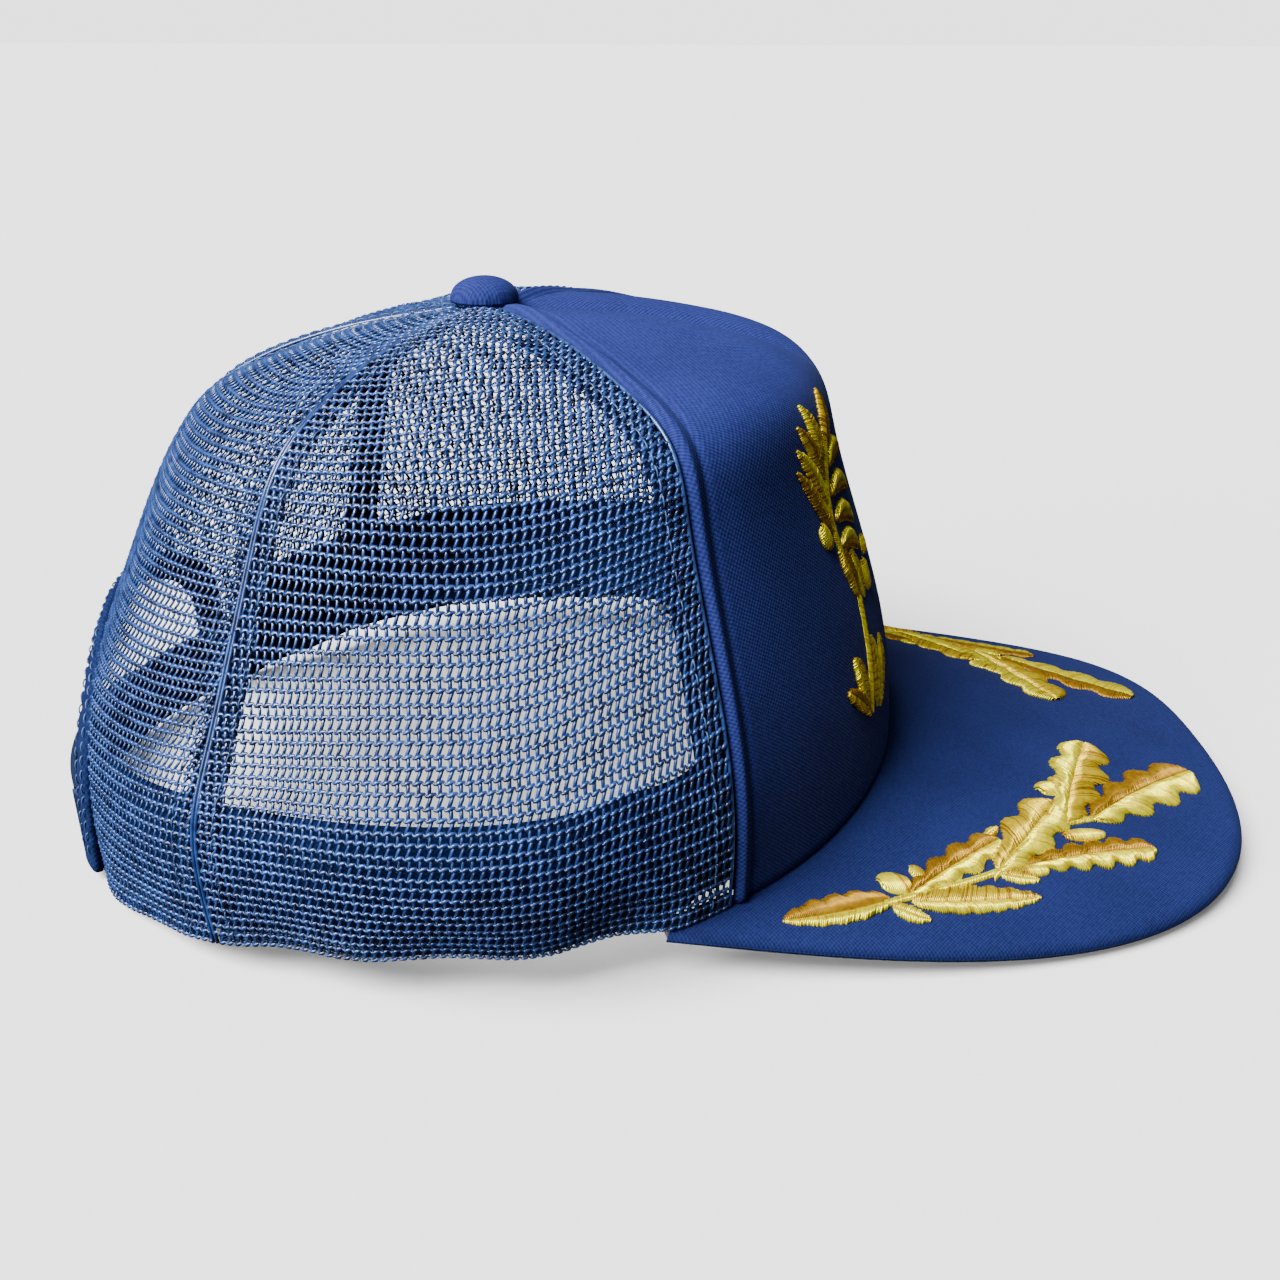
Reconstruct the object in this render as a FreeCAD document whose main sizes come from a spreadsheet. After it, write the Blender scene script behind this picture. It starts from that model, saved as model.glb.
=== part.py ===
import FreeCAD, Part
import math
import os

import Sketcher

V = FreeCAD.Vector

# ------------------------------------------------------------------ driving dimensions
# Frame: +Z up, the visor points to -Y, the wearer's right is -X, the floor is z = 0.
DIMENSIONS = [
    # alias, value (mm or degrees), meaning
    ("crown_height", 118.0, "floor to the cloth under the button"),
    ("crown_half_width", 88.0, "half width of the crown's oval"),
    ("crown_front_reach", 89.5, "oval centre to the front panel"),
    ("crown_back_reach", 100.5, "oval centre to the back"),
    ("oval_centre_y", 34.85, "oval centre, from the origin"),
    ("button_y", 36.55, "button axis, from the origin"),
    ("front_seam_angle", 56.5, "front seams, from the centre front"),
    ("side_seam_angle", 120.5, "side seams, from the centre front"),
    ("seam_gap", 0.25, "angle left between two panels"),
    ("panel_top", 0.975, "how far up the panels run, 1 is the button axis"),
    ("cloth_thickness", 0.8, "front cloth"),
    ("mesh_thickness", 1.0, "knitted mesh"),
    ("foam_thickness", 2.4, "foam behind the front cloth"),
    ("tape_thickness", 0.6, "seam tape"),
    ("layer_gap", 0.2, "air between two layers"),
    ("front_tape_angle", 7.0, "width of the front seam tape"),
    ("side_tape_angle", 4.4, "width of the side and rear seam tapes"),
    ("sweatband_width", 32.0, "height of the sweatband"),
    ("sweatband_thickness", 1.0, "folded sweatband cloth"),
    ("sweatband_end_angle", 145.0, "where the sweatband stops beside the rear arch"),
    ("arch_half_width", 42.0, "rear arch, clear half width"),
    ("arch_straight", 20.0, "rear arch, straight part of its sides"),
    ("arch_height", 48.0, "rear arch, clear height"),
    ("binding_width", 7.0, "bound edge of the arch"),
    ("visor_half_width", 83.5, "half width of the visor"),
    ("visor_length", 135.9, "visor root line to tip"),
    ("visor_root_y", -3.15, "visor root line, from the origin"),
    ("visor_power", 3.1, "roundness of the visor's outline"),
    ("visor_camber", 15.0, "how far the visor arches up in the middle"),
    ("visor_slope", 6.8, "angle by which the visor dips to its tip"),
    ("visor_thickness", 4.0, "visor, cover to cover"),
    ("visor_cover", 0.7, "visor cover cloth"),
    ("board_thickness", 1.6, "stiffening board"),
    ("board_inset", 2.0, "board edge behind the visor's edge"),
    ("strap_radius", 81.5, "outer face of the hole strap"),
    ("strap_thickness", 1.2, "plastic strap"),
    ("strap_height", 18.0, "plastic strap"),
    ("strap_base", 1.0, "underside of the straps above the floor"),
    ("strap_gap", 0.35, "air between the two straps"),
    ("strap_root_angle", 29.8, "where a strap leaves its sewn tab, from the centre back"),
    ("strap_tip_angle", 16.3, "how far past the centre back a strap reaches"),
    ("stud_pitch", 6.3, "angle between two studs or holes"),
    ("stud_count", 7.0, "studs, and as many holes"),
    ("stud_radius", 1.9, "stud"),
    ("hole_radius", 2.7, "strap hole"),
    ("stud_height", 1.7, "stud above its strap"),
    ("tab_length", 11.0, "sewn tab, as an angle"),
    ("button_radius", 7.5, "covered button"),
    ("button_height", 5.4, "covered button"),
    ("button_cloth", 0.6, "cloth over the button"),
    ("button_shell_wall", 0.5, "aluminium shell"),
    ("rivet_radius", 7.0, "inner washer of the button's rivet"),
    ("rivet_shank", 1.5, "radius of the rivet's shank"),
    ("thread_height", 1.1, "raised embroidery"),
]

doc = FreeCAD.newDocument("trucker_cap")
sheet = doc.addObject("Spreadsheet::Sheet", "Dimensions")
for row, (alias, value, meaning) in enumerate(DIMENSIONS, start=1):
    sheet.set(f"A{row}", meaning)
    sheet.set(f"B{row}", str(value))
    sheet.setAlias(f"B{row}", alias)
doc.recompute()
D = {alias: float(sheet.get(alias)) for alias, value, meaning in DIMENSIONS}


# ------------------------------------------------------------------ shape of the crown
# Each profile runs from the rim to the button: (share of the reach, share of the height).
FRONT_PROFILE = [(1.04, 0), (1.0, 0.275), (0.905, 0.57), (0.85, 0.75), (0.78, 0.88),
                 (0.575, 0.945), (0.335, 0.98), (0, 1)]
SIDE_PROFILE = [(1.02, 0), (1.078, 0.232), (0.98, 0.443), (0.862, 0.657), (0.775, 0.82),
                (0.567, 0.915), (0.295, 0.99), (0, 1)]
BACK_PROFILE = [(1.034, 0), (1.016, 0.216), (0.943, 0.375), (0.79, 0.64), (0.68, 0.79),
                (0.56, 0.88), (0.30, 0.955), (0, 1)]
# Height of the rim above the floor, at angles from the centre front.
RIM_SIDE = [(60, 12.0), (80, 10.6), (105, 8.8), (130, 3.7), (150, 0.25), (180, 0.2)]
VISOR_CORNER_ANGLES = (64.0, 80.0)


def natural_spline(xs, ys):
    """Smooth curve through the given points, straight at its two ends."""
    n = len(xs)
    steps = [xs[i + 1] - xs[i] for i in range(n - 1)]
    slopes = [(ys[i + 1] - ys[i]) / steps[i] for i in range(n - 1)]
    bend = [0.0] * n
    upper = [0.0] * n
    for i in range(1, n - 1):
        pivot = 2 * (steps[i - 1] + steps[i]) - steps[i - 1] * upper[i - 1]
        upper[i] = steps[i] / pivot
        bend[i] = (6 * (slopes[i] - slopes[i - 1]) - steps[i - 1] * bend[i - 1]) / pivot
    bend[n - 1] = 0.0
    for i in range(n - 2, 0, -1):
        bend[i] -= upper[i] * bend[i + 1]

    def value(x):
        i = 0
        while i < n - 2 and x > xs[i + 1]:
            i += 1
        step = steps[i]
        left = (xs[i + 1] - x) / step
        right = (x - xs[i]) / step
        curve = ((left ** 3 - left) * bend[i] + (right ** 3 - right) * bend[i + 1]) * step * step / 6
        return left * ys[i] + right * ys[i + 1] + curve

    return value


def profile_curves(profile):
    stations = [i / (len(profile) - 1) for i in range(len(profile))]
    reach = natural_spline(stations, [point[0] for point in profile])
    height = natural_spline(stations, [point[1] for point in profile])
    return reach, height


FRONT, SIDE, BACK = (profile_curves(p) for p in (FRONT_PROFILE, SIDE_PROFILE, BACK_PROFILE))
rim_side = natural_spline([p[0] for p in RIM_SIDE], [p[1] for p in RIM_SIDE])


def smooth(x):
    x = min(max(x, 0.0), 1.0)
    return x * x * (3 - 2 * x)


# The visor is part of a cylinder, tilted about its root line so that its tip dips.
W = D["visor_half_width"]
CAMBER_RADIUS = (W * W + D["visor_camber"] ** 2) / (2 * D["visor_camber"])
SLOPE = math.tan(math.radians(D["visor_slope"]))


def visor_shape(x, y):
    """Height of the visor's top above its highest line at the root."""
    arch = CAMBER_RADIUS - math.sqrt(CAMBER_RADIUS ** 2 - x * x)
    return SLOPE * (y - D["visor_root_y"]) - arch


def visor_outline(inset=0.0, count=40):
    """Points of the outer edge, from the wearer's right corner round to the left one."""
    points = []
    for i in range(count + 1):
        turn = math.radians(-90 + 180 * i / count)
        power = 2 / D["visor_power"]
        x = (W - inset) * math.copysign(abs(math.sin(turn)) ** power, math.sin(turn))
        y = D["visor_root_y"] - (D["visor_length"] - inset) * abs(math.cos(turn)) ** power
        points.append((x, y))
    return points


def visor_underside_shape(x, y):
    radius = CAMBER_RADIUS - D["visor_thickness"]
    return SLOPE * (y - D["visor_root_y"]) - CAMBER_RADIUS + math.sqrt(radius * radius - x * x)


# The lowest points of the visor's edge, near its front corners, stand on the floor.
VISOR_TOP = -min(visor_underside_shape(x, y) for x, y in visor_outline(0, 360))
ROOT_LINE_TOP = VISOR_TOP - SLOPE * D["visor_root_y"]


def visor_z(x, y):
    return VISOR_TOP + visor_shape(x, y)


def crown(angle, t, offset=0.0):
    """Point of the crown: angle from the centre front towards the wearer's right, t from rim to button."""
    point = crown_surface(angle, t)
    if offset == 0:
        return point
    along = crown_surface(angle + 0.05, t) - crown_surface(angle - 0.05, t)
    upward = crown_surface(angle, t + 0.0005) - crown_surface(angle, t - 0.0005)
    normal = upward.cross(along)
    normal.normalize()
    return point + normal * offset


def crown_surface(angle, t):
    turn = math.radians(angle)
    c = math.cos(turn)
    front_share = smooth(max(c, 0) * 1.15)
    back_share = smooth(max(-c, 0) * 1.15)
    side_share = 1 - front_share - back_share
    shares = ((FRONT, front_share), (SIDE, side_share), (BACK, back_share))
    reach = sum(curve[0](t) * share for curve, share in shares)
    height = sum(curve[1](t) * share for curve, share in shares)
    y_reach = D["crown_front_reach"] if c > 0 else D["crown_back_reach"]
    x = -D["crown_half_width"] * math.sin(turn) * reach
    oval_y = D["oval_centre_y"] - y_reach * c
    y = D["button_y"] + (oval_y - D["button_y"]) * reach
    return V(x, y, rim(angle, x, y) * (1 - height) + D["crown_height"] * height)


def rim(angle, x, y):
    """Height of the crown's lower edge: it sits on the visor in front and drops towards the back."""
    around = abs(((angle + 180) % 360) - 180)
    turn = math.radians(around)
    low, high = VISOR_CORNER_ANGLES
    if around > high:
        return rim_side(around)
    foot_x = D["crown_half_width"] * math.sin(turn) * 1.03
    foot_y = D["button_y"] + (D["oval_centre_y"] - D["crown_front_reach"] * math.cos(turn)
                              - D["button_y"]) * 1.04
    on_visor = visor_z(min(foot_x, W), foot_y) + 0.5
    share = smooth((around - low) / (high - low))
    return on_visor * (1 - share) + rim_side(max(around, 60)) * share


# ------------------------------------------------------------------ building helpers
def make_feature(name, shape):
    feature = doc.addObject("Part::Feature", name)
    feature.Label = name
    feature.Shape = shape
    feature.Placement = FreeCAD.Placement()
    return feature


def surface_through(grid):
    surface = Part.BSplineSurface()
    surface.interpolate(grid)
    return surface


def closed_skin(outer_grid, inner_grid):
    """Solid between two grids of points that have the same outline."""
    outer = surface_through(outer_grid)
    inner = surface_through(inner_grid)
    faces = [outer.toShape(), inner.toShape()]
    u_low, u_high, v_low, v_high = outer.bounds()
    p_low, p_high, q_low, q_high = inner.bounds()
    borders = [(outer.uIso(u_low), inner.uIso(p_low)), (outer.uIso(u_high), inner.uIso(p_high)),
               (outer.vIso(v_low), inner.vIso(q_low)), (outer.vIso(v_high), inner.vIso(q_high))]
    for first, second in borders:
        faces.append(Part.makeRuledSurface(first.toShape(), second.toShape()))
    shell = Part.Shell(faces)
    shell.sewShape()
    solid = Part.Solid(shell)
    if solid.Volume < 0:
        solid.reverse()
    return solid


def spread(low, high, step):
    count = max(4, math.ceil(abs(high - low) / step))
    return [low + (high - low) * i / count for i in range(count + 1)]


def crown_skin(angles, ts, outer, inner):
    """Layer of the crown between two angles, two heights and two offsets from its outside."""
    across = spread(angles[0], angles[1], 4.0)
    up = spread(ts[0], ts[1], 0.035)
    grids = [[[crown(a, t, offset) for t in up] for a in across] for offset in (outer, inner)]
    return closed_skin(*grids)


def t_at_height(angle, z):
    """The t at which the crown reaches a height above the floor."""
    low, high = 0.0, 0.6
    for _ in range(30):
        middle = (low + high) / 2
        if crown_surface(angle, middle).z < z:
            low = middle
        else:
            high = middle
    return low


PRISM_START = 60.0
PRISM_DEPTH = 120.0
PRISM_BELOW = 5.0


def arch_prism(grow=0.0):
    """Block through the back of the crown with the outline of the arch."""
    half = D["arch_half_width"] + grow
    straight = D["arch_straight"]
    dome_height = D["arch_height"] + grow - straight
    middle = V(0, PRISM_START, straight)
    ellipse = Part.Ellipse(middle + V(half, 0, 0), middle + V(0, 0, dome_height), middle)
    dome = Part.Face(Part.Wire([ellipse.toShape()])).extrude(V(0, PRISM_DEPTH, 0))
    base = Part.makeBox(2 * half, PRISM_DEPTH, straight + PRISM_BELOW,
                        V(-half, PRISM_START, -PRISM_BELOW))
    return base.fuse(dome).removeSplitter()


# ------------------------------------------------------------------ crown
SEAM = D["front_seam_angle"]
SIDE_SEAM = D["side_seam_angle"]
GAP = D["seam_gap"]
TOP = D["panel_top"]
CLOTH_IN = -D["cloth_thickness"]
MESH_IN = -D["mesh_thickness"]
FOAM_OUT = CLOTH_IN - D["layer_gap"]
FOAM_IN = FOAM_OUT - D["foam_thickness"]
TAPE_OUT = MESH_IN - D["layer_gap"]
TAPE_IN = TAPE_OUT - D["tape_thickness"]
BAND_CLEARANCE = 0.5
BAND_OUT = FOAM_IN - BAND_CLEARANCE
BAND_IN = BAND_OUT - D["sweatband_thickness"]
BINDING_OUT = 0.3
BINDING_IN = MESH_IN - 0.4
BINDING_LAP = 0.3
PATCH_MARGIN = 6.0
FOAM_EDGE = 1.0
# Lowest and highest t of the foam and of the seam tapes.
FOAM_RANGE = (0.006, 0.90)
TAPE_RANGE = (0.02, 0.9)
SIDES = (("right", 1), ("left", -1))


def build_front():
    make_feature("front_panel", crown_skin((-SEAM + GAP, SEAM - GAP), (0, TOP), 0, CLOTH_IN))
    edge = SEAM - FOAM_EDGE
    make_feature("front_foam", crown_skin((-edge, edge), FOAM_RANGE, FOAM_OUT, FOAM_IN))


def build_mesh_panels():
    opening = arch_prism(D["binding_width"])
    for name, side in SIDES:
        angles = (side * (SEAM + GAP), side * (SIDE_SEAM - GAP))
        make_feature(f"side_mesh_{name}", crown_skin(angles, (0, TOP), 0, MESH_IN))
        angles = (side * (SIDE_SEAM + GAP), side * (180 - GAP))
        rear = crown_skin(angles, (0, TOP), 0, MESH_IN).cut(opening)
        make_feature(f"rear_mesh_{name}", rear.Solids[0])


def build_tapes():
    half = D["side_tape_angle"] / 2
    for name, side in SIDES:
        angles = (side * (SEAM + GAP), side * (SEAM + D["front_tape_angle"]))
        make_feature(f"front_seam_tape_{name}", crown_skin(angles, TAPE_RANGE, TAPE_OUT, TAPE_IN))
        angles = (side * (SIDE_SEAM - half), side * (SIDE_SEAM + half))
        make_feature(f"side_seam_tape_{name}", crown_skin(angles, TAPE_RANGE, TAPE_OUT, TAPE_IN))
    low = t_at_height(180, D["arch_height"] + D["binding_width"] + 1)
    angles = (180 - half, 180 + half)
    make_feature("rear_seam_tape", crown_skin(angles, (low, TAPE_RANGE[1]), TAPE_OUT, TAPE_IN))


def build_binding():
    reach = D["arch_half_width"] + D["binding_width"]
    spread_angle = math.degrees(math.asin(reach / D["crown_half_width"])) + PATCH_MARGIN
    high = t_at_height(180, D["arch_height"] + D["binding_width"] + PATCH_MARGIN)
    patch = crown_skin((180 - spread_angle, 180 + spread_angle), (0, high), BINDING_OUT, BINDING_IN)
    ring = patch.common(arch_prism(D["binding_width"] - BINDING_LAP)).cut(arch_prism())
    make_feature("arch_binding", ring.Solids[0])


def build_sweatband():
    end = D["sweatband_end_angle"]
    across = spread(-end, end, 4.0)
    outer = [[band_point(angle, share, BAND_OUT) for share in spread(0, 1, 0.25)] for angle in across]
    inner = [[band_point(angle, share, BAND_IN) for share in spread(0, 1, 0.25)] for angle in across]
    make_feature("sweatband", closed_skin(outer, inner))


def band_point(angle, share, offset):
    """Point of the sweatband, which stands on the rim and follows the inside of the crown."""
    foot = crown(angle, 0.0, offset)
    height = foot.z + D["sweatband_width"] * share
    return crown(angle, t_at_height(angle, height), offset)


# ------------------------------------------------------------------ sketch helpers
def new_body(name):
    body = doc.addObject("PartDesign::Body", name)
    body.Label = name
    return body


def origin_part(body, role):
    return next(item for item in body.Origin.OriginFeatures if item.Role == role)


def new_sketch(body, role, name):
    sketch = body.newObject("Sketcher::SketchObject", name)
    sketch.AttachmentSupport = [(origin_part(body, role), "")]
    sketch.MapMode = "FlatFace"
    return sketch


def bind(sketch, constraint, expression):
    index = sketch.addConstraint(constraint)
    sketch.setExpression(f"Constraints[{index}]", expression)
    return index


def add_polygon(sketch, points):
    """Closed run of lines; returns the index of its first line."""
    first = sketch.GeometryCount
    count = len(points)
    for i in range(count):
        sketch.addGeometry(Part.LineSegment(points[i], points[(i + 1) % count]), False)
    for i in range(count):
        sketch.addConstraint(Sketcher.Constraint("Coincident", first + i, 2, first + (i + 1) % count, 1))
    return first


# ------------------------------------------------------------------ visor
VISOR_ROOT_ANGLE = 65.5
# The untrimmed plate and the trimming square both reach well past the visor.
PLATE_LENGTH = 500.0
TRIM_REACH = 300.0
LAYER_SLACK = 0.05
CAMBER = "(Dimensions.visor_half_width^2 + Dimensions.visor_camber^2) / (2 * Dimensions.visor_camber)"


def visor_section(body, top, bottom):
    """Cross-section of one layer: two arcs about the axis of the camber, joined at their ends."""
    sketch = new_sketch(body, "XZ_Plane", body.Name + "_section")
    centre = V(0, ROOT_LINE_TOP - CAMBER_RADIUS, 0)
    swing = math.asin((W + 1.0) / CAMBER_RADIUS)
    for offset in (top, bottom):
        circle = Part.Circle(centre, V(0, 0, 1), CAMBER_RADIUS + offset)
        sketch.addGeometry(Part.ArcOfCircle(circle, math.pi / 2 - swing, math.pi / 2 + swing), False)
    upper, lower = sketch.Geometry[0], sketch.Geometry[1]
    sketch.addGeometry(Part.LineSegment(upper.StartPoint, lower.StartPoint), False)
    sketch.addGeometry(Part.LineSegment(upper.EndPoint, lower.EndPoint), False)
    for line, end in ((2, 1), (3, 2)):
        sketch.addConstraint(Sketcher.Constraint("Coincident", line, 1, 0, end))
        sketch.addConstraint(Sketcher.Constraint("Coincident", line, 2, 1, end))
    sketch.addConstraint(Sketcher.Constraint("Coincident", 0, 3, 1, 3))
    sketch.addConstraint(Sketcher.Constraint("PointOnObject", 0, 3, -2))
    sketch.addConstraint(Sketcher.Constraint("DistanceY", 0, 3, -1, 1, -centre.y))
    for arc, offset in ((0, top), (1, bottom)):
        radius = Sketcher.Constraint("Radius", arc, CAMBER_RADIUS + offset)
        bind(sketch, radius, f"{CAMBER} + {offset}")
    return sketch


def spline_through(points):
    curve = Part.BSplineCurve()
    curve.interpolate(points)
    return curve


def visor_plan(sketch, inset, root_offset):
    """All that lies outside the outline: the free edge, then back along the foot of the crown."""
    free_edge = [V(x, y, 0) for x, y in visor_outline(inset)]
    root = []
    for angle in spread(-VISOR_ROOT_ANGLE, VISOR_ROOT_ANGLE, 4.0):
        foot = crown(angle, 0.0, root_offset)
        root.append(V(foot.x, foot.y, 0))
    sketch.addGeometry(spline_through(free_edge), False)
    sketch.addGeometry(spline_through(root), False)
    sketch.addGeometry(Part.LineSegment(free_edge[-1], root[0]), False)
    sketch.addGeometry(Part.LineSegment(root[-1], free_edge[0]), False)
    corners = ((-TRIM_REACH, -TRIM_REACH), (TRIM_REACH, -TRIM_REACH), (TRIM_REACH, TRIM_REACH),
               (-TRIM_REACH, TRIM_REACH))
    add_polygon(sketch, [V(x, y, 0) for x, y in corners])


def visor_layer(name, inset, top, bottom, root_offset):
    """One layer of the visor: a cambered, sloping plate, trimmed to the outline."""
    body = new_body(name)
    plate = body.newObject("PartDesign::Pad", name + "_plate")
    plate.Profile = visor_section(body, top, bottom)
    plate.Midplane = True
    plate.Length = PLATE_LENGTH
    plate.UseCustomVector = True
    plate.Direction = V(0, 1, SLOPE)
    plate.AlongSketchNormal = True
    plan = new_sketch(body, "XY_Plane", name + "_plan")
    visor_plan(plan, inset, root_offset)
    trim = body.newObject("PartDesign::Pocket", name + "_trim")
    trim.Profile = plan
    trim.Type = "ThroughAll"
    trim.Midplane = True
    return body


def build_visor():
    cover = D["visor_cover"]
    full = D["visor_thickness"]
    split = full / 2
    root = FOAM_IN + 0.2
    board_top = -(full - D["board_thickness"]) / 2 - LAYER_SLACK
    board_bottom = board_top - D["board_thickness"]
    visor_layer("visor_board", D["board_inset"], board_top, board_bottom, root - 0.2)
    visor_layer("visor_foam", D["board_inset"], -cover - LAYER_SLACK, board_top + LAYER_SLACK, root - 0.2)
    cavity_inset = D["board_inset"] - 0.5
    for name, high, low, room_high, room_low in (
            ("visor_top_cover", 0.0, -split + LAYER_SLACK, -cover, -full),
            ("visor_bottom_cover", -split - LAYER_SLACK, -full, 0.0, -full + cover)):
        cut = doc.addObject("Part::Cut", name)
        cut.Label = name
        cut.Base = visor_layer(name + "_block", 0.0, high, low, root)
        cut.Tool = visor_layer(name + "_room", cavity_inset, room_high, room_low, root - 2.0)


# ------------------------------------------------------------------ button
BUTTON_LIFT = 0.25
BUTTON_BASE = D["crown_height"] + BUTTON_LIFT


def dome_body(name, inset, wall):
    """Hollow dome on the button's axis; inset and wall are expressions on the sheet."""
    body = new_body(name)
    body.Placement = FreeCAD.Placement(V(0, D["button_y"], BUTTON_BASE), FreeCAD.Rotation())
    inset_value = 0.0 if inset == "0" else D[inset]
    radius = D["button_radius"] - inset_value
    height = D["button_height"] - inset_value
    thick = D[wall]
    side = height * 0.25
    sketch = new_sketch(body, "XZ_Plane", name + "_profile")

    def arc(r, top):
        rise = top - side
        big = (r * r + rise * rise) / (2 * rise)
        circle = Part.Circle(V(0, top - big, 0), V(0, 0, 1), big)
        return Part.ArcOfCircle(circle, math.asin((side - top + big) / big), math.pi / 2)

    sketch.addGeometry(arc(radius, height), False)
    sketch.addGeometry(arc(radius - thick, height - thick), False)
    outer, inner = sketch.Geometry[0], sketch.Geometry[1]
    corners = [outer.StartPoint, V(radius, 0, 0), V(radius - thick, 0, 0), inner.StartPoint]
    for start, end in zip(corners, corners[1:]):
        sketch.addGeometry(Part.LineSegment(start, end), False)
    sketch.addGeometry(Part.LineSegment(inner.EndPoint, outer.EndPoint), False)
    for first, first_end, second, second_end in ((0, 1, 2, 1), (2, 2, 3, 1), (3, 2, 4, 1), (4, 2, 1, 1),
                                                 (1, 2, 5, 1), (5, 2, 0, 2)):
        sketch.addConstraint(Sketcher.Constraint("Coincident", first, first_end, second, second_end))
    sketch.addConstraint(Sketcher.Constraint("Vertical", 2))
    sketch.addConstraint(Sketcher.Constraint("Vertical", 4))
    sketch.addConstraint(Sketcher.Constraint("PointOnObject", 3, 1, -1))
    sketch.addConstraint(Sketcher.Constraint("PointOnObject", 3, 2, -1))
    sketch.addConstraint(Sketcher.Constraint("PointOnObject", 5, 1, -2))
    sketch.addConstraint(Sketcher.Constraint("PointOnObject", 5, 2, -2))
    sketch.addConstraint(Sketcher.Constraint("PointOnObject", 0, 3, -2))
    sketch.addConstraint(Sketcher.Constraint("PointOnObject", 1, 3, -2))
    outer_radius = "Dimensions.button_radius" + ("" if inset == "0" else f" - Dimensions.{inset}")
    outer_height = outer_radius.replace("button_radius", "button_height")
    bind(sketch, Sketcher.Constraint("DistanceX", -1, 1, 3, 1, radius), outer_radius)
    bind(sketch, Sketcher.Constraint("DistanceX", 3, 2, 3, 1, thick), f"Dimensions.{wall}")
    bind(sketch, Sketcher.Constraint("DistanceY", -1, 1, 5, 2, height), outer_height)
    bind(sketch, Sketcher.Constraint("DistanceY", 5, 1, 5, 2, thick), f"Dimensions.{wall}")
    bind(sketch, Sketcher.Constraint("DistanceY", 2, 2, 2, 1, side), f"({outer_height}) * 0.25")
    bind(sketch, Sketcher.Constraint("DistanceY", 4, 1, 4, 2, side), f"({outer_height}) * 0.25")
    turn = body.newObject("PartDesign::Revolution", name + "_turned")
    turn.Profile = sketch
    turn.ReferenceAxis = (sketch, ["V_Axis"])
    turn.Angle = 360


# Heights of the rivet above the button's base.
WASHER_TOP = -3.0
WASHER_THICKNESS = 0.7
SHANK_TOP = 3.4


def build_rivet():
    """Washer under the panels and the shank that grips the button's shell."""
    name = "button_rivet"
    body = new_body(name)
    body.Placement = FreeCAD.Placement(V(0, D["button_y"], BUTTON_BASE), FreeCAD.Rotation())
    sketch = new_sketch(body, "XZ_Plane", name + "_profile")
    wide, narrow = D["rivet_radius"], D["rivet_shank"]
    points = [V(0, WASHER_TOP - WASHER_THICKNESS, 0), V(wide, WASHER_TOP - WASHER_THICKNESS, 0),
              V(wide, WASHER_TOP, 0), V(narrow, WASHER_TOP, 0), V(narrow, SHANK_TOP, 0), V(0, SHANK_TOP, 0)]
    add_polygon(sketch, points)
    for line in (0, 2, 4):
        sketch.addConstraint(Sketcher.Constraint("Horizontal", line))
    for line in (1, 3):
        sketch.addConstraint(Sketcher.Constraint("Vertical", line))
    sketch.addConstraint(Sketcher.Constraint("PointOnObject", 0, 1, -2))
    sketch.addConstraint(Sketcher.Constraint("PointOnObject", 4, 2, -2))
    sketch.addConstraint(Sketcher.Constraint("DistanceY", 1, 2, -1, 1, -WASHER_TOP))
    sketch.addConstraint(Sketcher.Constraint("DistanceY", 1, 1, 1, 2, WASHER_THICKNESS))
    sketch.addConstraint(Sketcher.Constraint("DistanceY", -1, 1, 3, 2, SHANK_TOP))
    bind(sketch, Sketcher.Constraint("DistanceX", 0, 1, 0, 2, wide), "Dimensions.rivet_radius")
    bind(sketch, Sketcher.Constraint("DistanceX", 4, 2, 4, 1, narrow), "Dimensions.rivet_shank")
    turn = body.newObject("PartDesign::Revolution", name + "_turned")
    turn.Profile = sketch
    turn.ReferenceAxis = (sketch, ["V_Axis"])
    turn.Angle = 360


# ------------------------------------------------------------------ rear straps
# Angles of the straps are measured about the axis of their arc, from the centre back.
STRAP_AXIS_Y = crown(180, 0.02).y + 0.3 - D["strap_radius"]
INNER_STRAP = D["strap_radius"] - D["strap_thickness"] - D["strap_gap"]
STUDS_BEFORE_CENTRE = 4
HOLES_BEFORE_CENTRE = 2
TIP_FLAT = 1.0
HOLE_START = 3.0
TAB_CLEARANCE = 0.3
TAB_OUT = BINDING_IN - TAB_CLEARANCE
TAB_START = 28.6


def band_sketch(body, plane_name, outer_radius, start, end):
    """Ring sector about the body's Z axis; angles from the body's +Y towards its -X."""
    sketch = new_sketch(body, "XY_Plane", plane_name)
    low, high = math.radians(90 + start), math.radians(90 + end)
    inner_radius = outer_radius - D["strap_thickness"]
    for radius in (outer_radius, inner_radius):
        circle = Part.Circle(V(0, 0, 0), V(0, 0, 1), radius)
        sketch.addGeometry(Part.ArcOfCircle(circle, low, high), False)
    outer, inner = sketch.Geometry[0], sketch.Geometry[1]
    sketch.addGeometry(Part.LineSegment(outer.StartPoint, inner.StartPoint), False)
    sketch.addGeometry(Part.LineSegment(outer.EndPoint, inner.EndPoint), False)
    for line, end_point in ((2, 1), (3, 2)):
        sketch.addConstraint(Sketcher.Constraint("Coincident", line, 1, 0, end_point))
        sketch.addConstraint(Sketcher.Constraint("Coincident", line, 2, 1, end_point))
    sketch.addConstraint(Sketcher.Constraint("Coincident", 0, 3, -1, 1))
    sketch.addConstraint(Sketcher.Constraint("Coincident", 1, 3, -1, 1))
    return sketch, outer_radius, inner_radius


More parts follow.
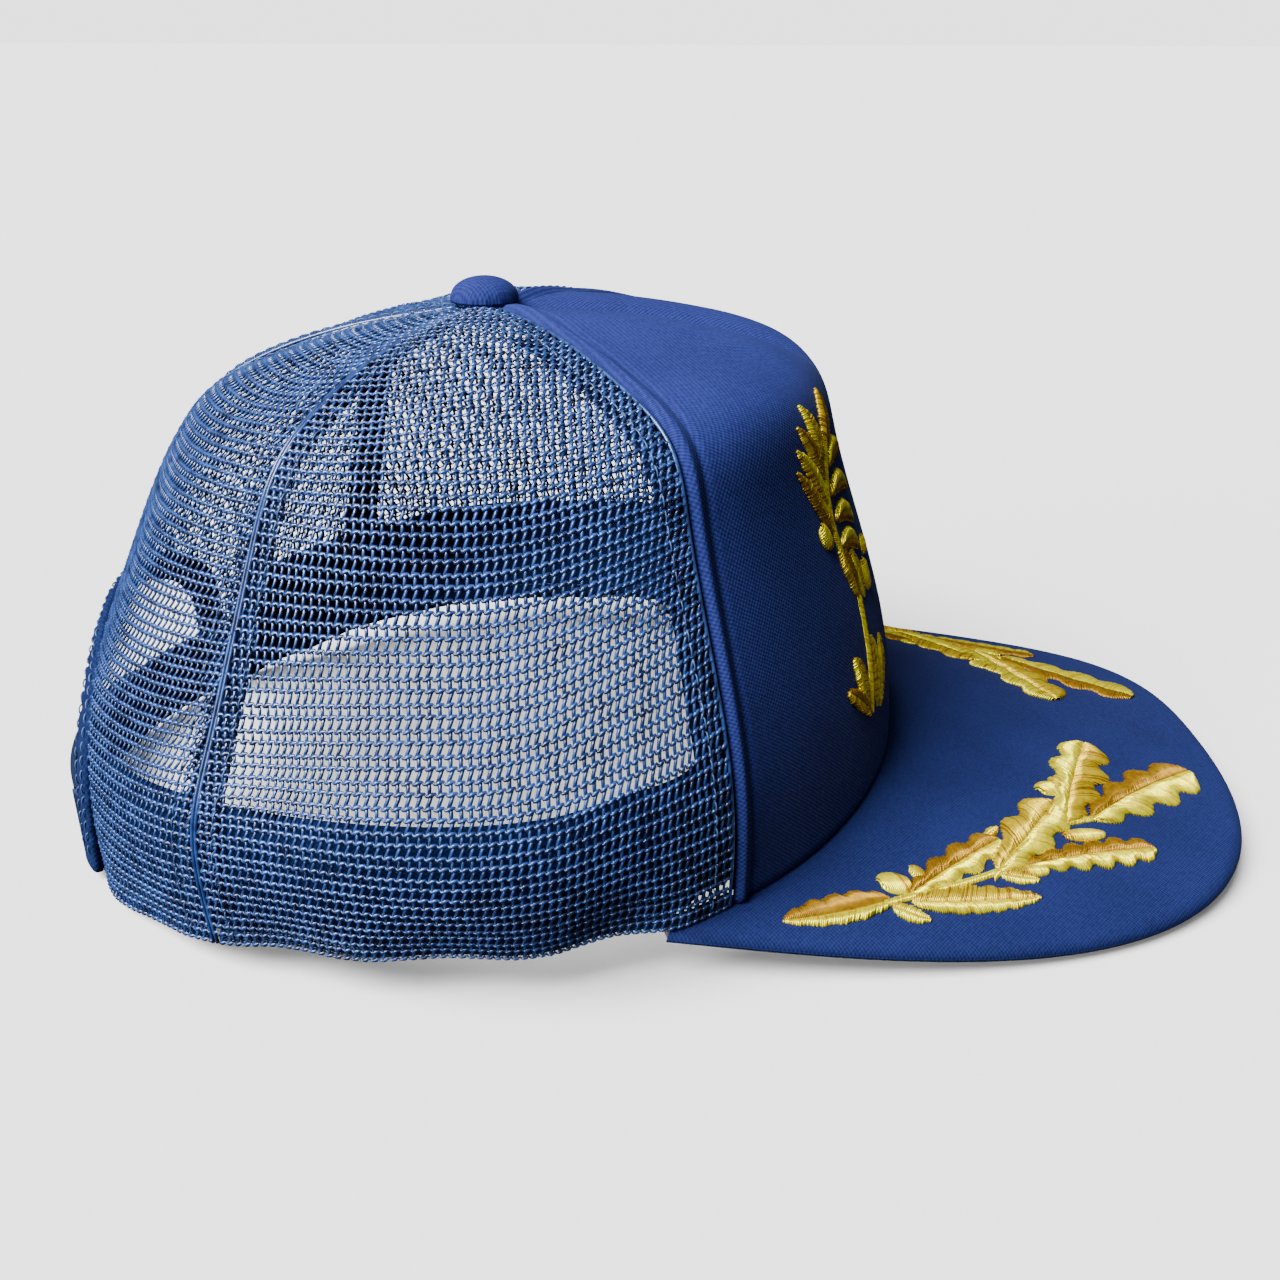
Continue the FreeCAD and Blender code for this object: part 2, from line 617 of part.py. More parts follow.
def strap_band(name, outer_radius, radius_expression, start, end):
    body = new_body(name)
    body.Placement = FreeCAD.Placement(V(0, STRAP_AXIS_Y, D["strap_base"]), FreeCAD.Rotation())
    sketch, outer, inner = band_sketch(body, name + "_band", outer_radius, start, end)
    bind(sketch, Sketcher.Constraint("Radius", 0, outer), radius_expression)
    bind(sketch, Sketcher.Constraint("Radius", 1, inner), f"{radius_expression} - Dimensions.strap_thickness")
    pad = body.newObject("PartDesign::Pad", name + "_pad")
    pad.Profile = sketch
    pad.setExpression("Length", "Dimensions.strap_height")
    return body


def round_tip(body, name, tip_angle):
    """Rounds the two corners of a strap's free end."""
    doc.recompute()
    band = body.Tip
    tip = math.radians(90 + tip_angle)
    direction = V(math.cos(tip), math.sin(tip), 0)
    edges = []
    for index, edge in enumerate(body.Shape.Edges, start=1):
        middle = body.Placement.inverse().multVec(edge.CenterOfMass)
        along = (edge.Vertexes[-1].Point - edge.Vertexes[0].Point)
        flat = V(middle.x, middle.y, 0)
        if abs(along.z) < 0.01 and edge.Length < 2 and flat.getAngle(direction) < 0.01:
            edges.append(f"Edge{index}")
    tip_round = body.newObject("PartDesign::Fillet", name + "_tip")
    tip_round.Base = (band, edges)
    tip_round.Radius = D["strap_height"] / 2 - TIP_FLAT
    doc.recompute()


def pattern_round_axis(body, name, feature, count, pitch):
    pattern = body.newObject("PartDesign::PolarPattern", name)
    pattern.Originals = [feature]
    pattern.Axis = (origin_part(body, "Z_Axis"), [""])
    pattern.Angle = (count - 1) * pitch
    pattern.Occurrences = count
    body.Tip = pattern
    return pattern


def hole_sketch(body, first_angle, distance):
    """Circle at the middle of the strap's height, square to the body's axis."""
    sketch = new_sketch(body, "XZ_Plane", "strap_hole")
    turn = FreeCAD.Rotation(V(0, 0, 1), first_angle)
    sketch.AttachmentOffset = FreeCAD.Placement(V(0, 0, 0), FreeCAD.Rotation(V(0, 1, 0), first_angle))
    doc.recompute()
    outward = turn.multVec(V(0, 1, 0))
    normal = sketch.Placement.Rotation.multVec(V(0, 0, 1))
    sign = 1 if normal.dot(outward) > 0 else -1
    sketch.AttachmentOffset = FreeCAD.Placement(
        FreeCAD.Rotation(V(0, 1, 0), first_angle).multVec(V(0, 0, sign * distance)),
        FreeCAD.Rotation(V(0, 1, 0), first_angle))
    middle = D["strap_height"] / 2
    sketch.addGeometry(Part.Circle(V(0, middle, 0), V(0, 0, 1), D["hole_radius"]), False)
    sketch.addConstraint(Sketcher.Constraint("PointOnObject", 0, 3, -2))
    bind(sketch, Sketcher.Constraint("DistanceY", -1, 1, 0, 3, middle), "Dimensions.strap_height / 2")
    bind(sketch, Sketcher.Constraint("Radius", 0, D["hole_radius"]), "Dimensions.hole_radius")
    return sketch, sign


def build_straps():
    root, tip = D["strap_root_angle"], D["strap_tip_angle"]
    count = int(D["stud_count"])
    pitch = D["stud_pitch"]
    inner_expression = "Dimensions.strap_radius - Dimensions.strap_thickness - Dimensions.strap_gap"

    name = "hole_strap"
    body = strap_band(name, D["strap_radius"], "Dimensions.strap_radius", -tip, root)
    round_tip(body, name, -tip)
    sketch, sign = hole_sketch(body, -HOLES_BEFORE_CENTRE * pitch, D["strap_radius"] + HOLE_START)
    hole = body.newObject("PartDesign::Pocket", "strap_holes_first")
    hole.Profile = sketch
    hole.Length = HOLE_START + 2 * D["strap_thickness"]
    hole.Reversed = sign < 0
    doc.recompute()
    pattern_round_axis(body, "strap_holes", hole, count, pitch)

    name = "stud_strap"
    body = strap_band(name, INNER_STRAP, inner_expression, -root, tip)
    round_tip(body, name, tip)
    build_studs(count, pitch)


def build_studs(count, pitch):
    """Studs of the inner strap, standing out from its outer face into the other strap's holes."""
    middle = V(0, STRAP_AXIS_Y, D["strap_base"] + D["strap_height"] / 2)
    studs = []
    for place in range(count):
        outward = FreeCAD.Rotation(V(0, 0, 1), (place - STUDS_BEFORE_CENTRE) * pitch).multVec(V(0, 1, 0))
        stud = doc.addObject("Part::Cylinder", f"stud_{place + 1}")
        stud.setExpression("Radius", "Dimensions.stud_radius")
        stud.setExpression("Height", "Dimensions.stud_height")
        stud.Placement = FreeCAD.Placement(middle + outward * INNER_STRAP, FreeCAD.Rotation(V(0, 0, 1), outward))
        studs.append(stud)
    row = doc.addObject("Part::Compound", "strap_studs")
    row.Links = studs


def build_strap_tabs():
    """The sewn root of each strap, under the bound edge of the arch."""
    for name, side in (("hole_strap_tab", 1), ("stud_strap_tab", -1)):
        start = side * TAB_START
        end = side * (TAB_START + D["tab_length"])
        grids = [[[tab_point(angle, z, offset) for z in spread(0, 1, 0.25)]
                  for angle in spread(start, end, 2.0)] for offset in (TAB_OUT, TAB_OUT - D["strap_thickness"])]
        make_feature(name, closed_skin(*grids))


def tab_point(angle, share, offset):
    z = D["strap_base"] + D["strap_height"] * share
    return crown(180 - angle, t_at_height(180 - angle, z), offset)


# ------------------------------------------------------------------ embroidery
THREAD_BASE = 0.05
LEAF_PRISM = 95.0
LEAF_START_Y = -90.0
LEAF_START_Z = -5.0
# Leaves: base x, base y, tip x, tip y, width. The other side of the visor mirrors them.
VISOR_LEAVES = [
    (-70.5, -49, -78, -27, 9), (-68.5, -53, -49, -75, 8), (-69, -54, -65.5, -81, 9),
    (-61, -72, -39, -90, 15), (-58, -79, -48.5, -111, 9), (-41, -92, -12, -106, 16),
    (-41, -100, -21.5, -129, 14), (-60.5, -73, -61, -82, 4), (-72.5, -48, -73.5, -56, 4),
    (-66, -47, -65.5, -54, 6), (-63, -53, -62, -58, 5), (-33, -88, -31, -95, 7), (-48.5, -90, -45.5, -100, 5),
]
# Laurel on the front panel, right half: base x, base z, tip x, tip z, width.
FRONT_LEAVES = [
    (-25, 52, -34, 43, 7), (-29, 60, -42, 54, 7), (-31, 68, -44, 66, 7), (-32, 76, -45, 78, 7),
    (-31, 84, -43, 90, 7), (-28, 91, -37, 101, 7), (-24, 95, -24, 104, 6),
    (-27, 62, -20, 71, 6), (-29, 71, -21, 79, 6), (-28, 81, -20, 88, 6),
]


def leaf_outline(base, tip, width, lift):
    """Closed pointed oval from base to tip; lift turns a flat pair into a point in space."""
    bx, by = base
    tx, ty = tip
    along = (tx - bx, ty - by)
    length = math.hypot(*along)
    side = (-along[1] / length * width / 2, along[0] / length * width / 2)
    edges = []
    for sign in (1, -1):
        points = []
        for share, swell in ((0, 0), (0.2, 0.75), (0.5, 1.0), (0.8, 0.62), (1, 0)):
            points.append(lift(bx + along[0] * share + sign * side[0] * swell,
                               by + along[1] * share + sign * side[1] * swell))
        edges.append(spline_through(points).toShape())
    return Part.Face(Part.Wire(edges))


def build_visor_embroidery():
    for name, side in SIDES:
        low, high = sorted((-side * 82.5, -side * 6.0))
        xs, ys = spread(low, high, 10), spread(-134, -20, 12)
        grids = [[[V(x, y, visor_z(x, y) + rise) for y in ys] for x in xs]
                 for rise in (THREAD_BASE + D["thread_height"], THREAD_BASE)]
        layer = closed_skin(*grids)
        prisms = []
        for bx, by, tx, ty, width in VISOR_LEAVES:
            face = leaf_outline((side * bx, by), (side * tx, ty), width, lambda x, y: V(x, y, LEAF_START_Z))
            prisms.append(face.extrude(V(0, 0, LEAF_PRISM)))
        threads = prisms[0].multiFuse(prisms[1:]).common(layer)
        make_feature(f"visor_embroidery_{name}", Part.Compound(threads.Solids))


def build_front_embroidery():
    layer = crown_skin((-42, 42), (0.08, 0.72), THREAD_BASE + D["thread_height"], THREAD_BASE)
    prisms = []
    for side in (1, -1):
        for bx, bz, tx, tz, width in FRONT_LEAVES:
            face = leaf_outline((side * bx, bz), (side * tx, tz), width, lambda x, z: V(x, LEAF_START_Y, z))
            prisms.append(face.extrude(V(0, LEAF_PRISM, 0)))
    threads = prisms[0].multiFuse(prisms[1:]).common(layer)
    make_feature("front_embroidery", Part.Compound(threads.Solids))


# ------------------------------------------------------------------ build, check and write
NODES = [
    "front_panel", "front_foam", "side_mesh_right", "side_mesh_left", "rear_mesh_right", "rear_mesh_left",
    "front_seam_tape_right", "front_seam_tape_left", "side_seam_tape_right", "side_seam_tape_left",
    "rear_seam_tape", "arch_binding", "sweatband", "visor_top_cover", "visor_bottom_cover", "visor_board",
    "visor_foam", "button_cover", "button_shell", "button_rivet", "hole_strap", "hole_strap_tab",
    "stud_strap", "stud_strap_tab", "strap_studs", "visor_embroidery_right", "visor_embroidery_left",
    "front_embroidery",
]


def main():
    build_front()
    build_mesh_panels()
    build_tapes()
    build_binding()
    build_sweatband()
    build_visor()
    dome_body("button_cover", "0", "button_cloth")
    dome_body("button_shell", "button_cloth", "button_shell_wall")
    build_rivet()
    build_straps()
    build_strap_tabs()
    build_visor_embroidery()
    build_front_embroidery()
    doc.recompute()
    for item in doc.Objects:
        if "Invalid" in item.State or "Error" in item.State:
            raise RuntimeError(f"{item.Name} failed: {item.State}")
    os.makedirs("parts", exist_ok=True)
    for name in NODES:
        shape = doc.getObject(name).Shape
        if shape.isNull() or not shape.isValid() or shape.Volume <= 0:
            raise RuntimeError(f"{name} has no sound shape")
    for name in NODES:
        shape = doc.getObject(name).Shape
        shape.exportStep(f"parts/{name}.step")
        box = shape.optimalBoundingBox(False, False)
        print(f"{name:24s} solids {len(shape.Solids)} volume {shape.Volume:9.1f}  "
              f"x {box.XMin:7.1f} {box.XMax:7.1f}  y {box.YMin:7.1f} {box.YMax:7.1f}  "
              f"z {box.ZMin:7.2f} {box.ZMax:7.2f}")


main()
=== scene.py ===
import math

import bpy
import numpy as np
from mathutils import Matrix, Vector


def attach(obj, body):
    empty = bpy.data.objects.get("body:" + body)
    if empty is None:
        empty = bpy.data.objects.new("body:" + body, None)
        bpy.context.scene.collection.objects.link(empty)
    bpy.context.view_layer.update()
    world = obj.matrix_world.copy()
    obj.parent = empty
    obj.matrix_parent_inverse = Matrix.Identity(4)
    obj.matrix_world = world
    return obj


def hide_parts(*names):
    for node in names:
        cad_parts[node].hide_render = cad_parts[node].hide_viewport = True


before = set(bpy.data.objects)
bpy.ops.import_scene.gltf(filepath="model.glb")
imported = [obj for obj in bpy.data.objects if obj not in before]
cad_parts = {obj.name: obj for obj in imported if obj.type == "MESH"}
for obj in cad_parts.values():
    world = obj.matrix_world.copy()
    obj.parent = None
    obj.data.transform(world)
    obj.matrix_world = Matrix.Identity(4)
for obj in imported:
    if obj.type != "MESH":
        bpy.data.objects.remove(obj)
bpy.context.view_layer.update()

MM = 0.001
RANDOM = np.random.default_rng(7)

# ------------------------------------------------------------------ shape of the cap, in millimetres
CROWN_HEIGHT = 118.0
CROWN_HALF_WIDTH = 88.0
CROWN_FRONT_REACH = 89.5
CROWN_BACK_REACH = 100.5
OVAL_CENTRE_Y = 34.85
BUTTON_Y = 36.55
FRONT_SEAM = 56.5
SIDE_SEAM = 120.5
PANEL_TOP = 0.975
VISOR_HALF_WIDTH = 83.5
VISOR_LENGTH = 135.9
VISOR_ROOT_Y = -3.15
VISOR_POWER = 3.1
VISOR_CAMBER = 15.0
VISOR_SLOPE = math.tan(math.radians(6.8))
VISOR_THICKNESS = 4.0
ARCH_HALF_WIDTH = 42.0
ARCH_STRAIGHT = 20.0
ARCH_HEIGHT = 48.0
BINDING_WIDTH = 7.0
SIDES = (("right", 1), ("left", -1))

# Each profile runs from the rim to the button: (share of the reach, share of the height).
FRONT_PROFILE = [(1.04, 0), (1.0, 0.275), (0.905, 0.57), (0.85, 0.75), (0.78, 0.88),
                 (0.575, 0.945), (0.335, 0.98), (0, 1)]
SIDE_PROFILE = [(1.02, 0), (1.078, 0.232), (0.98, 0.443), (0.862, 0.657), (0.775, 0.82),
                (0.567, 0.915), (0.295, 0.99), (0, 1)]
BACK_PROFILE = [(1.034, 0), (1.016, 0.216), (0.943, 0.375), (0.79, 0.64), (0.68, 0.79),
                (0.56, 0.88), (0.30, 0.955), (0, 1)]
# Height of the rim above the floor, at angles from the centre front.
RIM_SIDE = [(60, 12.0), (80, 10.6), (105, 8.8), (130, 3.7), (150, 0.25), (180, 0.2)]
VISOR_CORNER_ANGLES = (64.0, 80.0)


def natural_spline(points):
    """Smooth curve through (x, y) points, straight at its two ends; takes arrays."""
    xs, ys = (np.array(values, float) for values in zip(*points))
    n = len(xs)
    steps = np.diff(xs)
    system = np.eye(n)
    right = np.zeros(n)
    for i in range(1, n - 1):
        system[i, i - 1:i + 2] = steps[i - 1], 2 * (steps[i - 1] + steps[i]), steps[i]
        right[i] = 6 * ((ys[i + 1] - ys[i]) / steps[i] - (ys[i] - ys[i - 1]) / steps[i - 1])
    bend = np.linalg.solve(system, right)

    def value(x):
        i = np.clip(np.searchsorted(xs, x) - 1, 0, n - 2)
        step = steps[i]
        low, high = (xs[i + 1] - x) / step, (x - xs[i]) / step
        curve = ((low ** 3 - low) * bend[i] + (high ** 3 - high) * bend[i + 1]) * step ** 2 / 6
        return low * ys[i] + high * ys[i + 1] + curve

    return value


def profile_curves(profile):
    stations = np.linspace(0, 1, len(profile))
    reach = natural_spline([(s, p[0]) for s, p in zip(stations, profile)])
    height = natural_spline([(s, p[1]) for s, p in zip(stations, profile)])
    return reach, height


FRONT, SIDE, BACK = (profile_curves(p) for p in (FRONT_PROFILE, SIDE_PROFILE, BACK_PROFILE))
rim_side = natural_spline(RIM_SIDE)


def smooth(x):
    x = np.clip(x, 0, 1)
    return x * x * (3 - 2 * x)


def bump(x, centre, width):
    return np.exp(-((x - centre) / width) ** 2)


def unit(vectors):
    return vectors / np.linalg.norm(vectors, axis=-1, keepdims=True)


def from_front(angle):
    """Angle from the centre front on either side, 0 to 180 degrees."""
    return np.abs((angle + 180) % 360 - 180)


def together(*values):
    return np.broadcast_arrays(*(np.asarray(value, float) for value in values))


CAMBER_RADIUS = (VISOR_HALF_WIDTH ** 2 + VISOR_CAMBER ** 2) / (2 * VISOR_CAMBER)


def visor_shape(x, y, radius=CAMBER_RADIUS):
    return VISOR_SLOPE * (y - VISOR_ROOT_Y) - CAMBER_RADIUS + np.sqrt(radius ** 2 - x ** 2)


def visor_edge(turn, inset=0.0):
    """Point of the visor's outline; turn runs from -90 degrees at the right corner to 90 at the left."""
    power = 2 / VISOR_POWER
    x = (VISOR_HALF_WIDTH - inset) * np.sign(np.sin(turn)) * np.abs(np.sin(turn)) ** power
    y = VISOR_ROOT_Y - (VISOR_LENGTH - inset) * np.abs(np.cos(turn)) ** power
    return x, y


VISOR_TOP = -visor_shape(*visor_edge(np.radians(np.linspace(-90, 90, 361))),
                         CAMBER_RADIUS - VISOR_THICKNESS).min()


def visor_z(x, y):
    return VISOR_TOP + visor_shape(x, y)


def visor_point(x, y, height=0.0):
    """Point above the visor's top, measured square to it."""
    slope_x = -x / np.sqrt(CAMBER_RADIUS ** 2 - x ** 2)
    normal = unit(np.stack([-slope_x, np.full_like(x, -VISOR_SLOPE), np.ones_like(x)], -1))
    return np.stack([x, y, visor_z(x, y)], -1) + normal * np.asarray(height)[..., None]


def rim(angle):
    around = from_front(angle)
    turn = np.radians(around)
    low, high = VISOR_CORNER_ANGLES
    foot_x = np.minimum(CROWN_HALF_WIDTH * np.sin(turn) * 1.03, VISOR_HALF_WIDTH)
    foot_y = BUTTON_Y + (OVAL_CENTRE_Y - CROWN_FRONT_REACH * np.cos(turn) - BUTTON_Y) * 1.04
    on_visor = visor_z(foot_x, foot_y) + 0.5
    share = smooth((around - low) / (high - low))
    return on_visor * (1 - share) + rim_side(np.maximum(around, 60)) * share


def crown_surface(angle, t):
    turn = np.radians(angle)
    c = np.cos(turn)
    front_share = smooth(np.maximum(c, 0) * 1.15)
    back_share = smooth(np.maximum(-c, 0) * 1.15)
    shares = ((FRONT, front_share), (SIDE, 1 - front_share - back_share), (BACK, back_share))
    reach = sum(curve[0](t) * share for curve, share in shares)
    height = sum(curve[1](t) * share for curve, share in shares)
    y_reach = np.where(c > 0, CROWN_FRONT_REACH, CROWN_BACK_REACH)
    x = -CROWN_HALF_WIDTH * np.sin(turn) * reach
    y = BUTTON_Y + (OVAL_CENTRE_Y - y_reach * c - BUTTON_Y) * reach
    z = rim(angle) * (1 - height) + CROWN_HEIGHT * height
    return np.stack([x, y, z], -1)


def crown(angle, t, offset=0.0):
    """Points of the crown and their normals: angle from the centre front to the wearer's right, t upwards."""
    angle, t = together(angle, t)
    along = crown_surface(angle + 0.05, t) - crown_surface(angle - 0.05, t)
    upward = crown_surface(angle, t + 0.0005) - crown_surface(angle, t - 0.0005)
    normal = unit(np.cross(upward, along))
    return crown_surface(angle, t) + normal * np.asarray(offset)[..., None], normal


def t_at_height(angle, z):
    """The t at which the crown reaches a height above the floor."""
    angle, z = together(angle, z)
    low, high = np.zeros(angle.shape), np.full(angle.shape, 0.7)
    for _ in range(28):
        middle = (low + high) / 2
        below = crown_surface(angle, middle)[..., 2] < z
        low, high = np.where(below, middle, low), np.where(below, high, middle)
    return low


def back_place(x, z):
    """Angle and t of the back of the crown at a given x and height."""
    x, z = together(x, z)
    angle = 180 + np.degrees(np.arcsin(np.clip(x / CROWN_HALF_WIDTH, -0.9, 0.9)))
    for _ in range(12):
        t = t_at_height(angle, z)
        missed = x - crown_surface(angle, t)[..., 0]
        angle = angle + np.degrees(missed / CROWN_HALF_WIDTH)
    return angle, t


# ------------------------------------------------------------------ meshes
# Faces are kept as blocks: arrays of point numbers with one row for each face.
def new_piece(name, points, blocks, materials, face_materials=None, coordinates=None):
    """Mesh object from points in millimetres; coordinates become a UV map, also in millimetres."""
    mesh = bpy.data.meshes.new(name)
    points = np.asarray(points, float) * MM
    corners = np.concatenate([block.ravel() for block in blocks]).astype(np.int32)
    sizes = np.concatenate([np.full(len(block), block.shape[1], np.int32) for block in blocks])
    mesh.vertices.add(len(points))
    mesh.vertices.foreach_set("co", points.astype(np.float32).ravel())
    mesh.loops.add(len(corners))
    mesh.loops.foreach_set("vertex_index", corners)
    mesh.polygons.add(len(sizes))
    mesh.polygons.foreach_set("loop_start", np.concatenate([[0], np.cumsum(sizes)[:-1]]).astype(np.int32))
    mesh.polygons.foreach_set("loop_total", sizes)
    for material in materials:
        mesh.materials.append(material)
    if face_materials is not None:
        mesh.polygons.foreach_set("material_index", np.asarray(face_materials, np.int32))
    mesh.polygons.foreach_set("use_smooth", np.ones(len(sizes), bool))
    if coordinates is not None:
        layer = mesh.uv_layers.new(name="cloth_mm")
        layer.data.foreach_set("uv", np.asarray(coordinates, np.float32)[corners].ravel())
    mesh.update(calc_edges=True)
    mesh.validate()
    piece = bpy.data.objects.new(name, mesh)
    bpy.context.scene.collection.objects.link(piece)
    return piece


def grid_faces(rows, columns, start=0, flip=False, closed=False):
    """Quads of a grid of points stored row after row; closed joins its last column to its first."""
    index = np.arange(rows * columns).reshape(rows, columns) + start
    here = index if closed else index[:, :-1]
    there = np.roll(index, -1, 1) if closed else index[:, 1:]
    quads = np.stack([here[:-1], there[:-1], there[1:], here[1:]], -1).reshape(-1, 4)
    return quads[:, ::-1] if flip else quads


def shell(outer, inner):
    """Closed sheet between two grids of points with the same shape: points and blocks of faces."""
    rows, columns = outer.shape[:2]
    points = np.concatenate([outer.reshape(-1, 3), inner.reshape(-1, 3)])
    half = rows * columns
    index = np.arange(half).reshape(rows, columns)
    border = np.concatenate([index[0], index[1:, -1], index[-1, -2::-1], index[-2:0:-1, 0]])
    following = np.roll(border, -1)
    rim_faces = np.stack([following, border, border + half, following + half], -1)
    return points, [np.concatenate([grid_faces(rows, columns), grid_faces(rows, columns, half, True),
                                    rim_faces])]


def edge_round(distance, radius):
    """Share of the full thickness left at a distance from a rounded edge."""
    share = np.clip(distance / radius, 0.02, 1)
    return np.sqrt(1 - (1 - share) ** 2)


def tubes(path, normal, wide, thick, sides=4):
    """Strands of flattened round section with closed ends; path and normal are (strands, points, 3)."""
    strands, count = path.shape[:2]
    along = np.gradient(path, axis=1)
    across = unit(np.cross(normal, along))
    up = unit(np.cross(along, across))
    turns = np.arange(sides) * 2 * np.pi / sides
    wide = np.broadcast_to(np.asarray(wide, float), (strands, count))[..., None, None]
    thick = np.broadcast_to(np.asarray(thick, float), (strands, count))[..., None, None]
    ring = (path[:, :, None] + across[:, :, None] * np.cos(turns)[:, None] * wide
            + up[:, :, None] * np.sin(turns)[:, None] * thick)
    index = np.arange(strands * count * sides).reshape(strands, count, sides)
    here, there = index[:, :-1], index[:, 1:]
    quads = np.stack([here, np.roll(here, -1, 2), np.roll(there, -1, 2), there], -1).reshape(-1, 4)
    return ring.reshape(-1, 3), [quads, index[:, 0, ::-1], index[:, -1]]


class Parts:
    """Collects points and faces of many small bits that make up one piece."""

    def __init__(self):
        self.points, self.blocks, self.kinds = [], [], []
        self.count = 0

    def add(self, points, blocks, kind=0):
        self.points.append(np.reshape(points, (-1, 3)))
        for block in blocks:
            self.blocks.append(block + self.count)
            self.kinds.append(np.full(len(block), kind))
        self.count += len(self.points[-1])

    def piece(self, name, materials, coordinates=None):
        """coordinates are for the first points; the rest get none of their own."""
        if coordinates is not None:
            rest = np.zeros((self.count - len(coordinates), 2))
            coordinates = np.concatenate([coordinates, rest])
        return new_piece(name, np.concatenate(self.points), self.blocks, materials,
                         np.concatenate(self.kinds), coordinates)


def stands_for(piece, slot, *nodes):
    """Puts a cloth piece in the place of its CAD solids, all of them part of the cap."""
    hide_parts(*nodes)
    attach(piece, "cap")


def sheet_piece(name, outer, inner, uv, material):
    """Closed sheet between two grids of points, with the same UV map on both sides."""
    points, faces = shell(outer, inner)
    uv = uv.reshape(-1, 2)
    return new_piece(name, points, faces, [material], None, np.concatenate([uv, uv]))


# ------------------------------------------------------------------ materials
# The wave texture has this period at scale 1, in units of its coordinates.
WAVES_PER_UNIT = 0.314159
TWILL = 45.0


class Graph:
    """Nodes of a material or of the world; their inputs take values or outputs of other nodes."""

    def __init__(self, tree):
        self.nodes, self.links = tree.nodes, tree.links

    def plug(self, sockets, values):
        for socket, value in zip(sockets, values):
            if isinstance(value, bpy.types.NodeSocket):
                self.links.new(value, socket)
            else:
                socket.default_value = value

    def fill(self, node, **values):
        self.plug([node.inputs[key.replace("_", " ")] for key in values], values.values())
        return node

    def node(self, kind, **values):
        return self.fill(self.nodes.new("ShaderNode" + kind), **values)

    def calculate(self, operation, *values):
        node = self.node("Math")
        node.operation = operation
        self.plug(node.inputs, values)
        return node.outputs[0]

    def blend(self, *terms):
        """Sum of outputs, each given with its share."""
        total, *others = [self.calculate("MULTIPLY", output, share) for output, share in terms]
        for other in others:
            total = self.calculate("ADD", total, other)
        return total

    def ramp(self, source, low, high, places=(0.3, 0.7)):
        """Colour that runs from low to high as source goes up."""
        node = self.node("ValToRGB", Fac=source)
        for element, place, colour in zip(node.color_ramp.elements, places, (low, high)):
            element.position = place
            element.color = (*colour, 1)
        return node.outputs["Color"]

    def noise(self, place, scale, detail):
        return self.node("TexNoise", Vector=place, Scale=scale, Detail=detail).outputs["Fac"]

    def wave(self, uv, period, angle):
        """Parallel ridges in the UV plane, period in the map's own units."""
        turned = self.node("Mapping", Vector=uv, Rotation=(0, 0, math.radians(angle))).outputs["Vector"]
        return self.node("TexWave", Vector=turned, Scale=WAVES_PER_UNIT / period, Distortion=1.0,
                         Detail=1.0).outputs["Fac"]


class Look(Graph):
    """A new material, built up from its coordinates to its surface."""

    def __init__(self, name):
        self.material = bpy.data.materials.new(name)
        self.material.use_nodes = True
        super().__init__(self.material.node_tree)
        coordinates = self.node("TexCoord").outputs
        self.uv, self.place = coordinates["UV"], coordinates["Object"]

    def surface(self, **values):
        self.fill(self.nodes["Principled BSDF"], **values)
        return self.material

    def relief(self, height, strength, depth):
        """Normal for a bump of some millimetres."""
        return self.node("Bump", Strength=strength, Distance=depth * MM, Height=height).outputs["Normal"]


def cloth_material(name, low, high, period=0.7, relief=0.12, sheen=0.035):
    """Fine cloth: crossed ridges of yarn, mottled by noise; its UV map is in millimetres."""
    look = Look(name)
    yarn, cross = (look.wave(look.uv, period, angle) for angle in (TWILL, TWILL + 90))
    weave = look.blend((yarn, 0.6), (cross, 0.4))
    grain = look.noise(look.place, 1300.0, 2.0)
    patches = look.noise(look.place, 45.0, 4.0)
    shade = look.blend((weave, 0.35), (grain, 0.4), (patches, 0.25))
    return look.surface(
        Base_Color=look.ramp(shade, low, high, (0.3, 0.68)),
        Normal=look.relief(look.blend((weave, 1.0), (grain, 0.8)), 0.6, relief),
        Roughness=0.85, Sheen_Weight=sheen, Sheen_Roughness=0.4, Sheen_Tint=(0.35, 0.55, 1.0, 1.0),
        Specular_IOR_Level=0.08)


def yarn_material(name, low, high, roughness, sheen=0.0, metallic=0.0, scale=260.0, specular=0.6):
    """Smooth plied yarn: slow changes of shade along and between the strands."""
    look = Look(name)
    return look.surface(
        Base_Color=look.ramp(look.noise(look.place, scale, 3.0), low, high),
        Normal=look.relief(look.noise(look.place, scale * 9, 1.0), 0.35, 0.05),
        Roughness=roughness, Sheen_Weight=sheen, Sheen_Roughness=0.35, Sheen_Tint=(0.6, 0.8, 1.0, 1.0),
        Metallic=metallic, Specular_IOR_Level=specular)


def plain_material(name, low, high, scale, roughness, relief=0.03, metallic=0.0):
    """Moulded plastic, board or metal: faint mottling and a fine surface grain."""
    look = Look(name)
    return look.surface(
        Base_Color=look.ramp(look.noise(look.place, scale, 4.0), low, high),
        Normal=look.relief(look.noise(look.place, scale * 12, 2.0), 0.4, relief),
        Roughness=roughness, Metallic=metallic)


